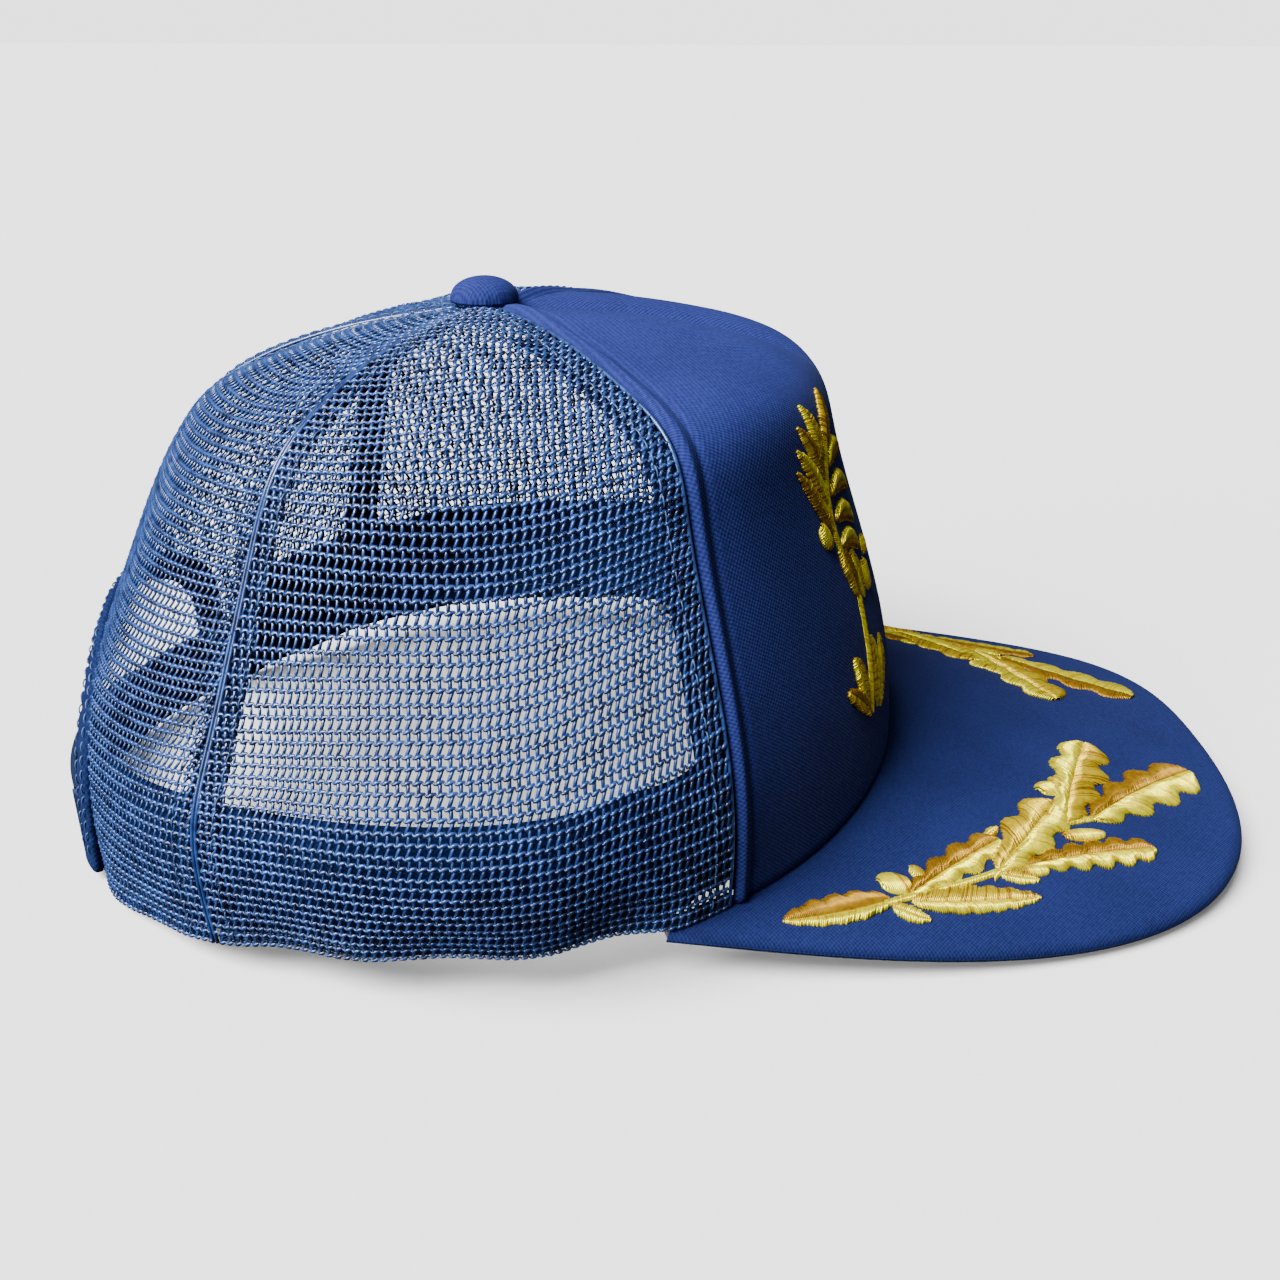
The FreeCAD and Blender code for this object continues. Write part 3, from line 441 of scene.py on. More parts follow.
FRONT_CLOTH = cloth_material("front_cloth", (0.0085, 0.0125, 0.074), (0.0250, 0.035, 0.182))
VISOR_CLOTH = cloth_material("visor_cloth", (0.0050, 0.0080, 0.044), (0.0130, 0.0205, 0.104), 0.6, 0.08)
TAPE_CLOTH = cloth_material("tape_cloth", (0.003, 0.007, 0.036), (0.008, 0.019, 0.085), 0.9, 0.15, 0.03)
BAND_CLOTH = cloth_material("sweatband_cloth", (0.003, 0.008, 0.040), (0.009, 0.022, 0.095), 0.8, 0.15, 0.03)
FOAM_CLOTH = cloth_material("foam_lining", (0.004, 0.010, 0.055), (0.010, 0.026, 0.120), 1.6, 0.35, 0.03)
MESH_YARN = yarn_material("mesh_yarn", (0.004, 0.014, 0.070), (0.030, 0.080, 0.290), 0.25, 0.08,
                          specular=1.0)
SEAM_THREAD = yarn_material("seam_thread", (0.018, 0.045, 0.140), (0.045, 0.100, 0.260), 0.45, 0.1)
GOLD_METALLIC = 0.65
GOLD_GRAIN = 700.0
# One gold thread drawn as three copies: a lit tone, a half-shaded tone and a shaded tone. Their differences
# are painted light and shade, standing for the way light catches satin threads laid in different directions.
GOLD_PAINTED_LIT = yarn_material("gold_thread_painted_lit", (0.66, 0.57, 0.006), (0.94, 0.87, 0.018), 0.32,
                           metallic=GOLD_METALLIC, scale=GOLD_GRAIN)
GOLD_PAINTED_HALF_SHADE = yarn_material("gold_thread_painted_half_shade", (0.50, 0.34, 0.003), (0.74, 0.56, 0.008), 0.34,
                         metallic=GOLD_METALLIC, scale=GOLD_GRAIN)
GOLD_PAINTED_SHADE = yarn_material("gold_thread_painted_shade", (0.22, 0.105, 0.002), (0.42, 0.23, 0.004), 0.38,
                          metallic=GOLD_METALLIC, scale=GOLD_GRAIN)
STRAP_PLASTIC = plain_material("strap_plastic", (0.005, 0.011, 0.040), (0.008, 0.017, 0.060), 90.0, 0.42)
BOARD_PLASTIC = plain_material("board_plastic", (0.30, 0.30, 0.29), (0.36, 0.36, 0.35), 120.0, 0.55)
BUTTON_METAL = plain_material("button_metal", (0.55, 0.56, 0.58), (0.70, 0.71, 0.73), 200.0, 0.35, 0.02, 1.0)


# ------------------------------------------------------------------ front panel and its foam
CREASE_DEPTH = 2.6
CREASE_WIDTH = 4.0
WELT_PLACE = 1.7
WELT_HEIGHT = 1.0
GROOVE_PLACE = 4.3
# Length of a panel from its rim to the button, for the UV maps of what lies on the crown.
PANEL_LENGTH = 125
FRONT_THICKNESS = 1.3
# Offsets of the foam's two faces from the outside of the crown, and its lowest and highest t.
FOAM_OUT, FOAM_IN = -1.6, -3.3
FOAM_RANGE = (0.008, 0.90)


def arc_lengths(points):
    steps = np.linalg.norm(np.diff(points, axis=0), axis=-1)
    return np.concatenate([[0], np.cumsum(steps)])


def resampled(values, along, where):
    """Rows of values, known at some lengths along a line, read at other lengths."""
    return np.stack([np.interp(where, along, column) for column in values.T], -1)


def front_relief(u, edge_distance, t):
    """Height of the front cloth over its plain shape: pinched crease on top, turned welt at the seams."""
    on_top = smooth((t - 0.52) / 0.2) * (1 - 0.5 * smooth((t - 0.86) / 0.12))
    crease = -CREASE_DEPTH * bump(u, 0, CREASE_WIDTH) + 1.5 * (bump(u, 13, 9) + bump(u, -13, 9))
    welt = WELT_HEIGHT * bump(edge_distance, WELT_PLACE, 1.25)
    groove = -0.55 * bump(edge_distance, GROOVE_PLACE, 0.75)
    slack = 0.35 * np.sin(u / 17 + 0.8) * np.sin(t * 9 + 0.4)
    return on_top * crease + welt + groove + slack * smooth(edge_distance / 14)


def front_grid(columns):
    """Angles of a grid over the front panel, closer together near the seams and the crease."""
    share = np.linspace(-1, 1, columns)
    share = np.sign(share) * (1 - (1 - np.abs(share)) ** 1.25)
    return (FRONT_SEAM - 0.2) * share


def make_front_panel():
    """Face cloth of the front: lifted and pinched on its outside, nearly plain on its inside."""
    ts = np.concatenate([np.linspace(0, 0.97, 150), [PANEL_TOP]])
    angles = front_grid(261)
    angle, t = np.meshgrid(angles, ts)
    middle = -FRONT_THICKNESS / 2
    base, _ = crown(angle, t)
    u = np.stack([arc_lengths(row) for row in base])
    half = u[:, -1:] / 2
    u = u - half
    v = np.broadcast_to(arc_lengths(base[:, len(angles) // 2])[:, None], u.shape)
    edge = half - np.abs(u)
    lift = front_relief(u, edge, t) * smooth(half / 12)
    thickness = FRONT_THICKNESS * edge_round(np.minimum(edge, v), 1.2)
    outer, _ = crown(angle, t, lift + middle + thickness / 2)
    inner, _ = crown(angle, t, np.minimum(lift, 0.2) + middle - thickness / 2)
    piece = sheet_piece("front_panel_cloth", outer, inner, np.stack([u, v], -1), FRONT_CLOTH)
    stands_for(piece, "front_cloth", "front_panel")


def make_front_foam():
    """Foam behind the face cloth, dimpled on the side of the head."""
    angle, t = np.meshgrid(np.linspace(-FRONT_SEAM + 1, FRONT_SEAM - 1, 90), np.linspace(*FOAM_RANGE, 60))
    dimple = 0.12 * np.sin(angle * 1.9) * np.sin(t * 70)
    outer, _ = crown(angle, t, FOAM_OUT)
    inner, _ = crown(angle, t, FOAM_IN + dimple)
    uv = np.stack([np.radians(angle) * CROWN_HALF_WIDTH, t * PANEL_LENGTH], -1)
    piece = sheet_piece("front_foam_lining", outer, inner, uv, FOAM_CLOTH)
    stands_for(piece, "foam_lining", "front_foam")


# ------------------------------------------------------------------ knitted mesh panels
HOLE_PITCH = 1.80
ROW_PITCH = 2.30
ROW_UNEVEN = 0.22
COLUMN_SHIFT = 0.42
YARN_WIDE = 0.50
YARN_THICK = 0.30
LINK_WIDE = 0.38
SEAM_FOLD = 5.2
HEM_FOLD = 6.6
HEM_CORDS = (0.35, 1.15, 1.95, 2.75)
CORD_WIDE = 0.42
SEAM_INSET = 0.3
STITCHES_INSET = 5.0
# How far round the arch the knit is cut away: it ends inside the binding.
UNDER_BINDING = BINDING_WIDTH - 1.0
SHORTEST_RUN = 4
# One stitch of a course: share of the pitch, rise, height over the cloth, share of the full width.
STITCH = ((-0.38, -0.24, -0.02, 0.62), (-0.14, -0.10, 0.14, 1.0), (0.16, 0.08, 0.14, 1.0),
          (0.44, 0.24, -0.05, 0.62))


class Panel:
    """A crown panel as flat cloth: u runs round the head from its centre line, v up that line."""

    def __init__(self, low, high):
        self.low, self.high = low, high
        self.middle = (low + high) / 2
        self.ts = np.linspace(0, PANEL_TOP, 160)
        centre = crown_surface(np.full(160, self.middle), self.ts)
        self.vs = arc_lengths(centre)
        across = np.linspace(low, high, 40)
        rows = [arc_lengths(crown_surface(across, np.full(40, t)))[-1] for t in self.ts]
        self.halves = np.array(rows) / 2
        self.height = self.vs[-1]

    def t(self, v):
        return np.interp(v, self.vs, self.ts)

    def half(self, v):
        return np.interp(v, self.vs, self.halves)

    def place(self, u, v, offset=0.0):
        t = self.t(v)
        angle = self.middle + u / self.half(v) * (self.high - self.low) / 2
        return crown(angle, t, offset + mesh_sag(angle, t))


def mesh_sag(angle, t):
    """Slack of the mesh over its plain shape: broad waves, a dent by the side seam and a loose hem."""
    around = from_front(angle)
    free = smooth((around - FRONT_SEAM) / 9) * smooth((PANEL_TOP - t) / 0.25)
    seam = 1 - 0.7 * bump(around, SIDE_SEAM, 4)
    waves = 0.9 * np.sin(around / 7.5 + 3.2 * t) * np.sin(t * 7.5 + angle / 31)
    dent = -3.0 * bump(around, 113, 7) * bump(t, 0.26, 0.085) + 1.2 * bump(around, 99, 8) * bump(t, 0.2, 0.09)
    hem = -0.8 * bump(t, 0.0, 0.05) + 0.7 * np.sin(around / 3.1) * bump(t, 0.0, 0.06)
    return free * seam * (waves + dent + hem)


def in_arch(panel_points, grow):
    """True where points of the back lie inside the rear arch, grown by some millimetres."""
    x, y, z = (panel_points[..., i] for i in range(3))
    half = ARCH_HALF_WIDTH + grow
    dome = np.maximum(z - ARCH_STRAIGHT, 0) / (ARCH_HEIGHT + grow - ARCH_STRAIGHT)
    return (y > 60) & ((x / half) ** 2 + dome ** 2 < 1)


def strand(parts, points, normals, free, wide, thick, sides=4):
    """Tube along a path, cut where the path isn't free; stretches of a few points are left out."""
    change = np.flatnonzero(np.diff(np.concatenate([[0], free, [0]])))
    wide, thick = (np.broadcast_to(size, len(points)) for size in (wide, thick))
    for first, last in zip(change[::2], change[1::2]):
        if last - first >= SHORTEST_RUN:
            cut = (values[None, first:last] for values in (points, normals, wide, thick))
            parts.add(*tubes(*cut, sides))


def knit(parts, panel, offset=0.0, keep=None, shift=(0.0, 0.0), scale=1.0):
    """Open knit: courses of fat slanted stitches, joined by links that leave rounded holes between them."""
    share, rise, out, swell = np.array(STITCH).T
    levels = np.arange(0.3 + shift[1], panel.height - 0.5, ROW_PITCH)
    levels[1::2] += ROW_UNEVEN
    link_rows = []
    for row, level in enumerate(levels):
        half = panel.half(level)
        if half < 1.2:
            continue
        slot = shift[0] + COLUMN_SHIFT * (row % 2)
        cells = np.arange(math.ceil((-half - slot) / HOLE_PITCH), math.floor((half - slot) / HOLE_PITCH) + 1)
        u = -((cells[:, None] + share) * HOLE_PITCH + slot).ravel()
        v = (level + rise + 0.05 * np.sin(cells * 1.3 + row * 1.7)[:, None]).ravel()
        points, normals = panel.place(u, np.clip(v, 0, panel.height), offset + np.tile(out, len(cells)))
        mask = (np.abs(u) < half - 0.15) & ~in_arch(points, UNDER_BINDING)
        if keep is not None:
            mask &= keep(u, v, half)
        wide = YARN_WIDE * scale * np.tile(swell, len(cells))
        thick = YARN_THICK * scale * np.tile(0.4 + 0.6 * swell, len(cells))
        strand(parts, points, normals, mask, wide, thick)
        if row + 1 < len(levels):
            above = slot + COLUMN_SHIFT * (1 if row % 2 == 0 else -1)
            kept = cells[mask.reshape(len(cells), -1).all(1)]
            ends = -np.stack([kept * HOLE_PITCH + slot, kept * HOLE_PITCH + above], -1)
            fits = np.abs(ends[:, 1]) < panel.half(levels[row + 1]) - 0.3
            rows = np.full(fits.sum(), level), np.full(fits.sum(), levels[row + 1])
            link_rows.append(np.concatenate([ends[fits], np.stack(rows, -1)], 1))
    links = np.concatenate(link_rows)
    climb = np.array([0.06, 0.5, 0.94])
    u = links[:, :1] + (links[:, 1:2] - links[:, :1]) * climb + np.array([0.18, 0.0, -0.18])
    v = links[:, 2:3] + (links[:, 3:] - links[:, 2:3]) * climb
    points, normals = panel.place(u, v, offset + np.array([0.0, -0.12, -0.05]))
    clear = ~in_arch(points, UNDER_BINDING).any(1)
    parts.add(*tubes(points[clear], normals[clear], LINK_WIDE * scale, YARN_THICK * scale))


def seam_cord(parts, panel, side_of_panel):
    """Turned edge of the knit beside a seam."""
    v = np.linspace(0, panel.height - 1, 150)
    u = side_of_panel * (panel.half(v) - SEAM_INSET)
    points, normals = panel.place(u, v, -0.1)
    strand(parts, points, normals, ~in_arch(points, UNDER_BINDING), CORD_WIDE, 0.38, 6)


def turned_in(u, v, half):
    """True where the knit is double: along both seams and the hem."""
    return (np.abs(u) > half - SEAM_FOLD) | (v < HEM_FOLD)


def stitches(parts, points, normals, length, gap, radius, kind=0):
    """Running stitches along a path: short rounded strands that dip into the cloth at both ends."""
    along = arc_lengths(points)
    starts = np.arange(gap, along[-1] - length, length + gap)
    share = np.array([0, 0.15, 0.5, 0.85, 1.0])
    where = starts[:, None] + share * length
    path, up = resampled(points, along, where), resampled(normals, along, where)
    path = path + up * (np.array([-0.35, 0.05, 0.18, 0.05, -0.35]) * radius / 0.15)[:, None]
    parts.add(*tubes(path, up, radius, radius, 5), kind)


def make_mesh_panel(node, low, high):
    """One panel: its knit, a second layer turned in along seams and hem, hem cords and seam stitches."""
    panel = Panel(low, high)
    parts = Parts()
    knit(parts, panel)
    knit(parts, panel, -0.9, turned_in, (0.8, 1.1), 0.95)
    for side_of_panel in (-1, 1):
        seam_cord(parts, panel, side_of_panel)
    for level in HEM_CORDS:
        u = np.arange(-panel.half(level) + SEAM_INSET, panel.half(level) - SEAM_INSET, 1.1)
        points, normals = panel.place(u, np.full(len(u), level), -0.75 + 0.08 * np.sin(u * 2.2 + level * 9))
        strand(parts, points, normals, ~in_arch(points, UNDER_BINDING), CORD_WIDE, 0.32)
    for side_of_panel in (-1, 1):
        v = np.linspace(1, panel.height - 4, 200)
        u = side_of_panel * (panel.half(v) - STITCHES_INSET)
        points, normals = panel.place(u, v, 0.3)
        outside = np.flatnonzero(~in_arch(points, BINDING_WIDTH))
        stitches(parts, points[outside], normals[outside], 2.3, 0.5, 0.16, 1)
    stands_for(parts.piece(f"{node}_knit", [MESH_YARN, SEAM_THREAD]), "mesh_knit", node)


def make_mesh_panels():
    for name, side in SIDES:
        ends = sorted((side * (FRONT_SEAM + 0.3), side * (SIDE_SEAM - 0.1)))
        make_mesh_panel(f"side_mesh_{name}", *ends)
        ends = sorted((side * (SIDE_SEAM + 0.1), side * 179.9))
        make_mesh_panel(f"rear_mesh_{name}", *ends)


# ------------------------------------------------------------------ tapes, binding and sweatband
TAPE_END = 0.93
ARCH_FOOT = 2.2
# Half height of the binding's section, how far it sinks into the mesh, and its lowest line.
BINDING_HEIGHT = 1.25
BINDING_SINK = 0.35
LOWEST_BINDING = 0.9


def make_tape(node, seam_angle, half_width, low, outer, inner):
    """Soft tape that follows a seam of constant angle up the inside of the crown."""
    share, t = np.meshgrid(np.linspace(-1, 1, 13), np.linspace(low, TAPE_END, 160))
    width = half_width * (1 + 0.03 * np.sin(t * 60))
    degrees = np.degrees(width / np.maximum(CROWN_HALF_WIDTH * np.sqrt(1 - t ** 2.6), 14))
    angle = seam_angle + share * degrees
    thick = edge_round(1.02 - np.abs(share), 0.25)
    top, _ = crown(angle, t, outer - (1 - thick) * (outer - inner) / 2)
    under, _ = crown(angle, t, inner + (1 - thick) * (outer - inner) / 2)
    uv = np.stack([share * half_width, t * PANEL_LENGTH], -1)
    stands_for(sheet_piece(f"{node}_cloth", top, under, uv, TAPE_CLOTH), "seam_tape", node)


def make_tapes():
    for name, side in SIDES:
        make_tape(f"front_seam_tape_{name}", side * FRONT_SEAM, 5.2, 0.04, -4.5, -5.3)
        make_tape(f"side_seam_tape_{name}", side * SIDE_SEAM, 4.4, 0.05, -1.7, -2.4)
    make_tape("rear_seam_tape", 180.0, 3.4, 0.47, -1.7, -2.4)


def arch_path():
    """Edge of the rear arch from one foot to the other: x, z and the direction out of the opening."""
    rise = ARCH_HEIGHT - ARCH_STRAIGHT
    turns = np.linspace(-np.pi / 2, np.pi / 2, 4000)
    x = np.concatenate([[-ARCH_HALF_WIDTH], ARCH_HALF_WIDTH * np.sin(turns), [ARCH_HALF_WIDTH]])
    z = np.concatenate([[ARCH_FOOT], ARCH_STRAIGHT + rise * np.cos(turns), [ARCH_FOOT]])
    line = np.stack([x, z], -1)
    along = arc_lengths(line)
    where = np.linspace(0, along[-1], 240)
    line = resampled(line, along, where)
    direction = unit(np.gradient(line, axis=0))
    outward = np.stack([-direction[:, 1], direction[:, 0]], -1)
    return line, outward, where


def make_binding():
    """Folded cloth over the raw edge of the arch: a flat loop in section, swept along the edge."""
    line, outward, where = arch_path()
    turns = np.linspace(0, 2 * np.pi, 28, endpoint=False)
    c, s = np.cos(turns), np.sin(turns)
    half = BINDING_WIDTH / 2
    section = np.stack([half + half * np.sign(c) * np.abs(c) ** 0.55,
                        BINDING_HEIGHT * np.sign(s) * np.abs(s) ** 0.7], -1)
    pucker = 0.16 * np.sin(where * 2 * np.pi / 5.2) + 0.1 * np.sin(where * 1.9)
    x = line[:, 0:1] + outward[:, 0:1] * section[:, 0]
    z = np.maximum(line[:, 1:2] + outward[:, 1:2] * section[:, 0], LOWEST_BINDING)
    swell = (1 + pucker[:, None]) * section[:, 1] - BINDING_SINK
    points, _ = crown(*back_place(x, z), swell)
    rows, columns = points.shape[:2]
    points[..., 2] = np.maximum(points[..., 2], 0.12)
    index = np.arange(rows * columns).reshape(rows, columns)
    faces = [grid_faces(rows, columns, closed=True), index[:1, ::-1], index[-1:]]
    uv = np.stack(np.meshgrid(arc_lengths(section), where), -1).reshape(-1, 2)
    parts = Parts()
    parts.add(points, faces)
    for distance in (1.6, BINDING_WIDTH - 1.3):
        row = line[6:-6] + outward[6:-6] * distance
        path, normals = crown(*back_place(row[:, 0], row[:, 1]), 0.95)
        stitches(parts, path, normals, 2.4, 0.7, 0.19, 1)
    piece = parts.piece("arch_binding_cloth", [TAPE_CLOTH, SEAM_THREAD], uv)
    stands_for(piece, "binding_cloth", "arch_binding")


BAND_END = 144.5
BAND_WIDTH = 31.8
BAND_STITCHES = (28.6, 3.2)


def make_sweatband():
    """Band folded along its upper edge, with two rows of stitches and a slight gathered wave."""
    angles = np.linspace(-BAND_END, BAND_END, 480)
    heights = np.concatenate([[0, 0.6, 1.4], np.linspace(2.4, 29.4, 36), [30.4, 31.2, BAND_WIDTH]])
    angle, height = np.meshgrid(angles, heights)
    base = rim(angle) + 0.9
    t = t_at_height(angle, base + height * 0.985)
    wave_height = 0.5 * np.sin(angle / 2.1 + height / 9) * np.sin(height / BAND_WIDTH * np.pi) \
        + 0.35 * np.sin(angle / 5.3 + 1.0)
    around = np.abs(angle)
    inward = -2.55 - 3.05 * smooth((FRONT_SEAM + 8 - around) / 7)
    depth = inward + wave_height * 0.5 - 0.25
    thickness = 0.95 * edge_round(np.minimum(height, BAND_WIDTH - height) + 0.1, 0.9)
    groove = 0.3 * sum(bump(height, row, 0.5) for row in BAND_STITCHES)
    outer, _ = crown(angle, t, depth + thickness / 2)
    inner, normals = crown(angle, t, depth - thickness / 2 + groove)
    points, faces = shell(outer, inner)
    uv = np.stack([np.radians(angle) * CROWN_HALF_WIDTH, height], -1).reshape(-1, 2)
    parts = Parts()
    parts.add(points, faces)
    for row in (int(np.argmin(np.abs(heights - stitched))) for stitched in BAND_STITCHES):
        path = inner[row] - normals[row] * 0.12
        stitches(parts, path, -normals[row], 2.4, 0.8, 0.2, 1)
    piece = parts.piece("sweatband_cloth", [BAND_CLOTH, SEAM_THREAD], np.concatenate([uv, uv]))
    stands_for(piece, "sweatband_cloth", "sweatband")


# ------------------------------------------------------------------ visor
def visor_root_y(x):
    """Where the visor runs in under the crown's rim."""
    low, high = np.zeros_like(x), np.full_like(x, 75.0)
    for _ in range(30):
        middle = (low + high) / 2
        reach = np.abs(crown_surface(middle, np.zeros_like(middle))[..., 0])
        low, high = np.where(reach < np.abs(x), middle, low), np.where(reach < np.abs(x), high, middle)
    y = crown_surface(low, np.zeros_like(low))[..., 1]
    return np.minimum(y + 3.0, VISOR_ROOT_Y - 0.6)


def visor_grid(rows=110, columns=220):
    """x and y over the visor: rows go from the root to the edge, closer together near the edge."""
    turn = np.radians(np.linspace(-90, 90, columns))
    turn = turn * (0.55 + 0.45 * np.abs(turn) / (np.pi / 2))
    turn = turn / turn[-1] * np.pi / 2
    edge_x, edge_y = visor_edge(turn)
    root_x = edge_x * 0.985
    root_y = visor_root_y(root_x)
    share = np.linspace(0, 1, rows)
    share = (1 - (1 - share) ** 2.2)[:, None]
    return root_x + (edge_x - root_x) * share, root_y + (edge_y - root_y) * share


def edge_distance(x, y):
    """About how far points lie inside the visor's outline."""
    inside = (np.abs(x / VISOR_HALF_WIDTH) ** VISOR_POWER
              + np.abs((y - VISOR_ROOT_Y) / VISOR_LENGTH) ** VISOR_POWER) ** (1 / VISOR_POWER)
    reach = np.hypot(x, y - VISOR_ROOT_Y)
    return reach * (1 / np.maximum(inside, 1e-6) - 1)


VISOR_ROLL = 3.0
COVER_THICKNESS = 0.6


def make_visor():
    """Upper and lower covers, drawn over the board and padding and meeting in a soft rounded edge."""
    x, y = visor_grid()
    distance = np.maximum(edge_distance(x, y), 0)
    drop = VISOR_THICKNESS / 2 * (1 - edge_round(distance + 0.02, VISOR_ROLL))
    ripple = 0.12 * np.sin(x / 9 + 1) * np.sin(y / 13) + 0.06 * np.sin(x / 4.1) * np.sin(y / 5.3 + 2)
    ripple = ripple * smooth(distance / 8)
    uv = np.stack([x, y], -1)
    top = visor_point(x, y, -drop + ripple)
    under = visor_point(x, y, -drop - COVER_THICKNESS)
    piece = sheet_piece("visor_top_cloth", top, under, uv, VISOR_CLOTH)
    stands_for(piece, "visor_cloth", "visor_top_cover", "visor_foam")
    low_top = visor_point(x, y, -VISOR_THICKNESS + drop + COVER_THICKNESS)
    low_under = visor_point(x, y, -VISOR_THICKNESS + drop)
    piece = sheet_piece("visor_bottom_cloth", low_top, low_under, uv, VISOR_CLOTH)
    stands_for(piece, "visor_cloth", "visor_bottom_cover")


# ------------------------------------------------------------------ covered button
BUTTON_RADIUS = 7.5
BUTTON_HEIGHT = 5.4
BUTTON_BASE = CROWN_HEIGHT + 0.25
BUTTON_HEM = 0.3
BUTTON_CLOTH = 0.55


def make_button():
    """Domed cloth cover, gathered towards its turned-in edge and hollow inside."""
    turns = np.linspace(0, 2 * np.pi, 96, endpoint=False)
    shares = np.linspace(0, 1, 40)
    slope = shares * 1.75
    radius = BUTTON_RADIUS * np.minimum(np.sin(slope), 1.0)
    height = BUTTON_HEM + (BUTTON_HEIGHT - BUTTON_HEM) * np.maximum(np.cos(slope), 0) ** 0.85
    # The last rings roll the edge in.
    height[-4:] = 0.8, 0.5, 0.25, 0.0
    radius[-4:] = BUTTON_RADIUS * np.array([0.995, 0.985, 0.965, 0.94])
    pucker = 0.14 * np.sin(turns * 14) * shares[:, None] ** 4
    reach = radius[:, None] + pucker
    flat = np.stack([reach * np.cos(turns), reach * np.sin(turns)], -1)
    centre = np.array([0, BUTTON_Y])
    level = np.broadcast_to(height[:, None], reach.shape)
    hollow = np.maximum(level - BUTTON_CLOTH, 0)
    outer = np.concatenate([flat + centre, BUTTON_BASE + level[..., None]], -1)
    inner = np.concatenate([flat * 0.93 + centre, BUTTON_BASE + hollow[..., None]], -1)
    rows, columns = reach.shape
    half = rows * columns
    edge = np.arange(half - columns, half)
    following = np.roll(edge, -1)
    faces = [grid_faces(rows, columns, 0, True, True), grid_faces(rows, columns, half, False, True),
             np.stack([edge, following, following + half, edge + half], -1)]
    uv = flat.reshape(-1, 2)
    points = np.concatenate([outer.reshape(-1, 3), inner.reshape(-1, 3)])
    piece = new_piece("button_cloth", points, faces, [FRONT_CLOTH], None, np.concatenate([uv, uv]))
    stands_for(piece, "button_cloth", "button_cover")


# ------------------------------------------------------------------ embroidery
THREAD_PITCH = 0.40
THREAD_WIDE = 0.25
THREAD_THICK = 0.17
# How far a leaf's threads lean towards its tip, as a share of its width.
THREAD_SLANT = 0.9
PADDING_DEPTH = 0.25
# Where the cap of a nut begins along its half length.
NUT_CAP = -0.35
# Painted tones of the gold thread: lit, half shaded and shaded. They paint the light and shade that satin
# threads laid in different directions catch.
PAINTED_LIT, PAINTED_HALF_SHADE, PAINTED_SHADE = 0, 1, 2
GOLDS = [GOLD_PAINTED_LIT, GOLD_PAINTED_HALF_SHADE, GOLD_PAINTED_SHADE]


def on_visor(side):
    """Placer for threads on the visor: from x, y and height to points and normals."""
    def place(x, y, height):
        x, y, height = together(x, y, height)
        points = visor_point(side * x, y, height)
        return points, points - visor_point(side * x, y, height - 1)
    return place


class FrontMap:
    """Angle and t of the front of the crown for points given by x and z, from a grid of 1 mm."""

    def __init__(self):
        self.low = np.array([-52.0, 28.0])
        x, z = np.meshgrid(np.arange(self.low[0], 1.0), np.arange(self.low[1], 112.0), indexing="ij")
        angle = np.degrees(np.arcsin(-x / CROWN_HALF_WIDTH))
        for _ in range(8):
            t = t_at_height(angle, z)
            angle = angle - np.degrees((x - crown_surface(angle, t)[..., 0]) / CROWN_HALF_WIDTH)
        self.grid = np.stack([angle, t], -1)

    def __call__(self, x, z):
        spot = np.stack([x, z], -1) - self.low
        cell = np.clip(np.floor(spot).astype(int), 0, np.array(self.grid.shape[:2]) - 2)
        share = spot - cell
        i, j = cell[..., 0], cell[..., 1]
        a, b = share[..., 0:1], share[..., 1:2]
        grid = self.grid
        found = (grid[i, j] * (1 - a) + grid[i + 1, j] * a) * (1 - b) \
            + (grid[i, j + 1] * (1 - a) + grid[i + 1, j + 1] * a) * b
        return found[..., 0], found[..., 1]


def on_front(side):
    """Placer for threads on the front panel: from x, z and height to points and normals."""
    front_map = FrontMap()

    def place(x, z, height):
        x, z, height = together(x, z, height)
        angle, t = front_map(x, z)
        return crown(angle * side, t, height)
    return place


def satin(parts, place, starts, ends, lift, kind):
    """Threads laid side by side from starts to ends, arched over their padding."""
    shares = np.array([0, 0.07, 0.3, 0.7, 0.93, 1])
    arch = np.array([-0.3, 0.35, 1.0, 1.0, 0.35, -0.3])
    flat = starts[:, None] + (ends - starts)[:, None] * shares[:, None]
    span = np.linalg.norm(ends - starts, axis=1)[:, None]
    height = arch * np.minimum(lift, 0.25 + 0.22 * span) + RANDOM.normal(0, 0.025, span.shape)
    points, normals = place(flat[..., 0], flat[..., 1], height)
    darker = RANDOM.random(len(points)) < 0.22
    for chosen, shade in ((~darker, kind), (darker, min(kind + 1, len(GOLDS) - 1))):
        if chosen.any():
            parts.add(*tubes(points[chosen], normals[chosen], THREAD_WIDE, THREAD_THICK), shade)


def blade_outline(share, width, lobes, blunt):
    """Half width of a leaf along its length: pointed, or blunt and lobed like an oak leaf."""
    near, far = 0.55, 0.3 if blunt else 0.7
    plain = share ** near * (1 - share) ** far
    peak = (near / (near + far)) ** near * (far / (near + far)) ** far
    depth = (0.36 if blunt else 0.16) if lobes else 0.0
    notch = 1 - depth * np.abs(np.cos(np.pi * lobes * share)) ** 3
    return width * plain / peak * notch


def padding(parts, place, flat, height, kind):
    """Closed body of gold under the threads, from just below the cloth up to a height."""
    over, _ = place(flat[..., 0], flat[..., 1], height)
    below, _ = place(flat[..., 0], flat[..., 1], -PADDING_DEPTH)
    parts.add(*shell(over, below), kind)


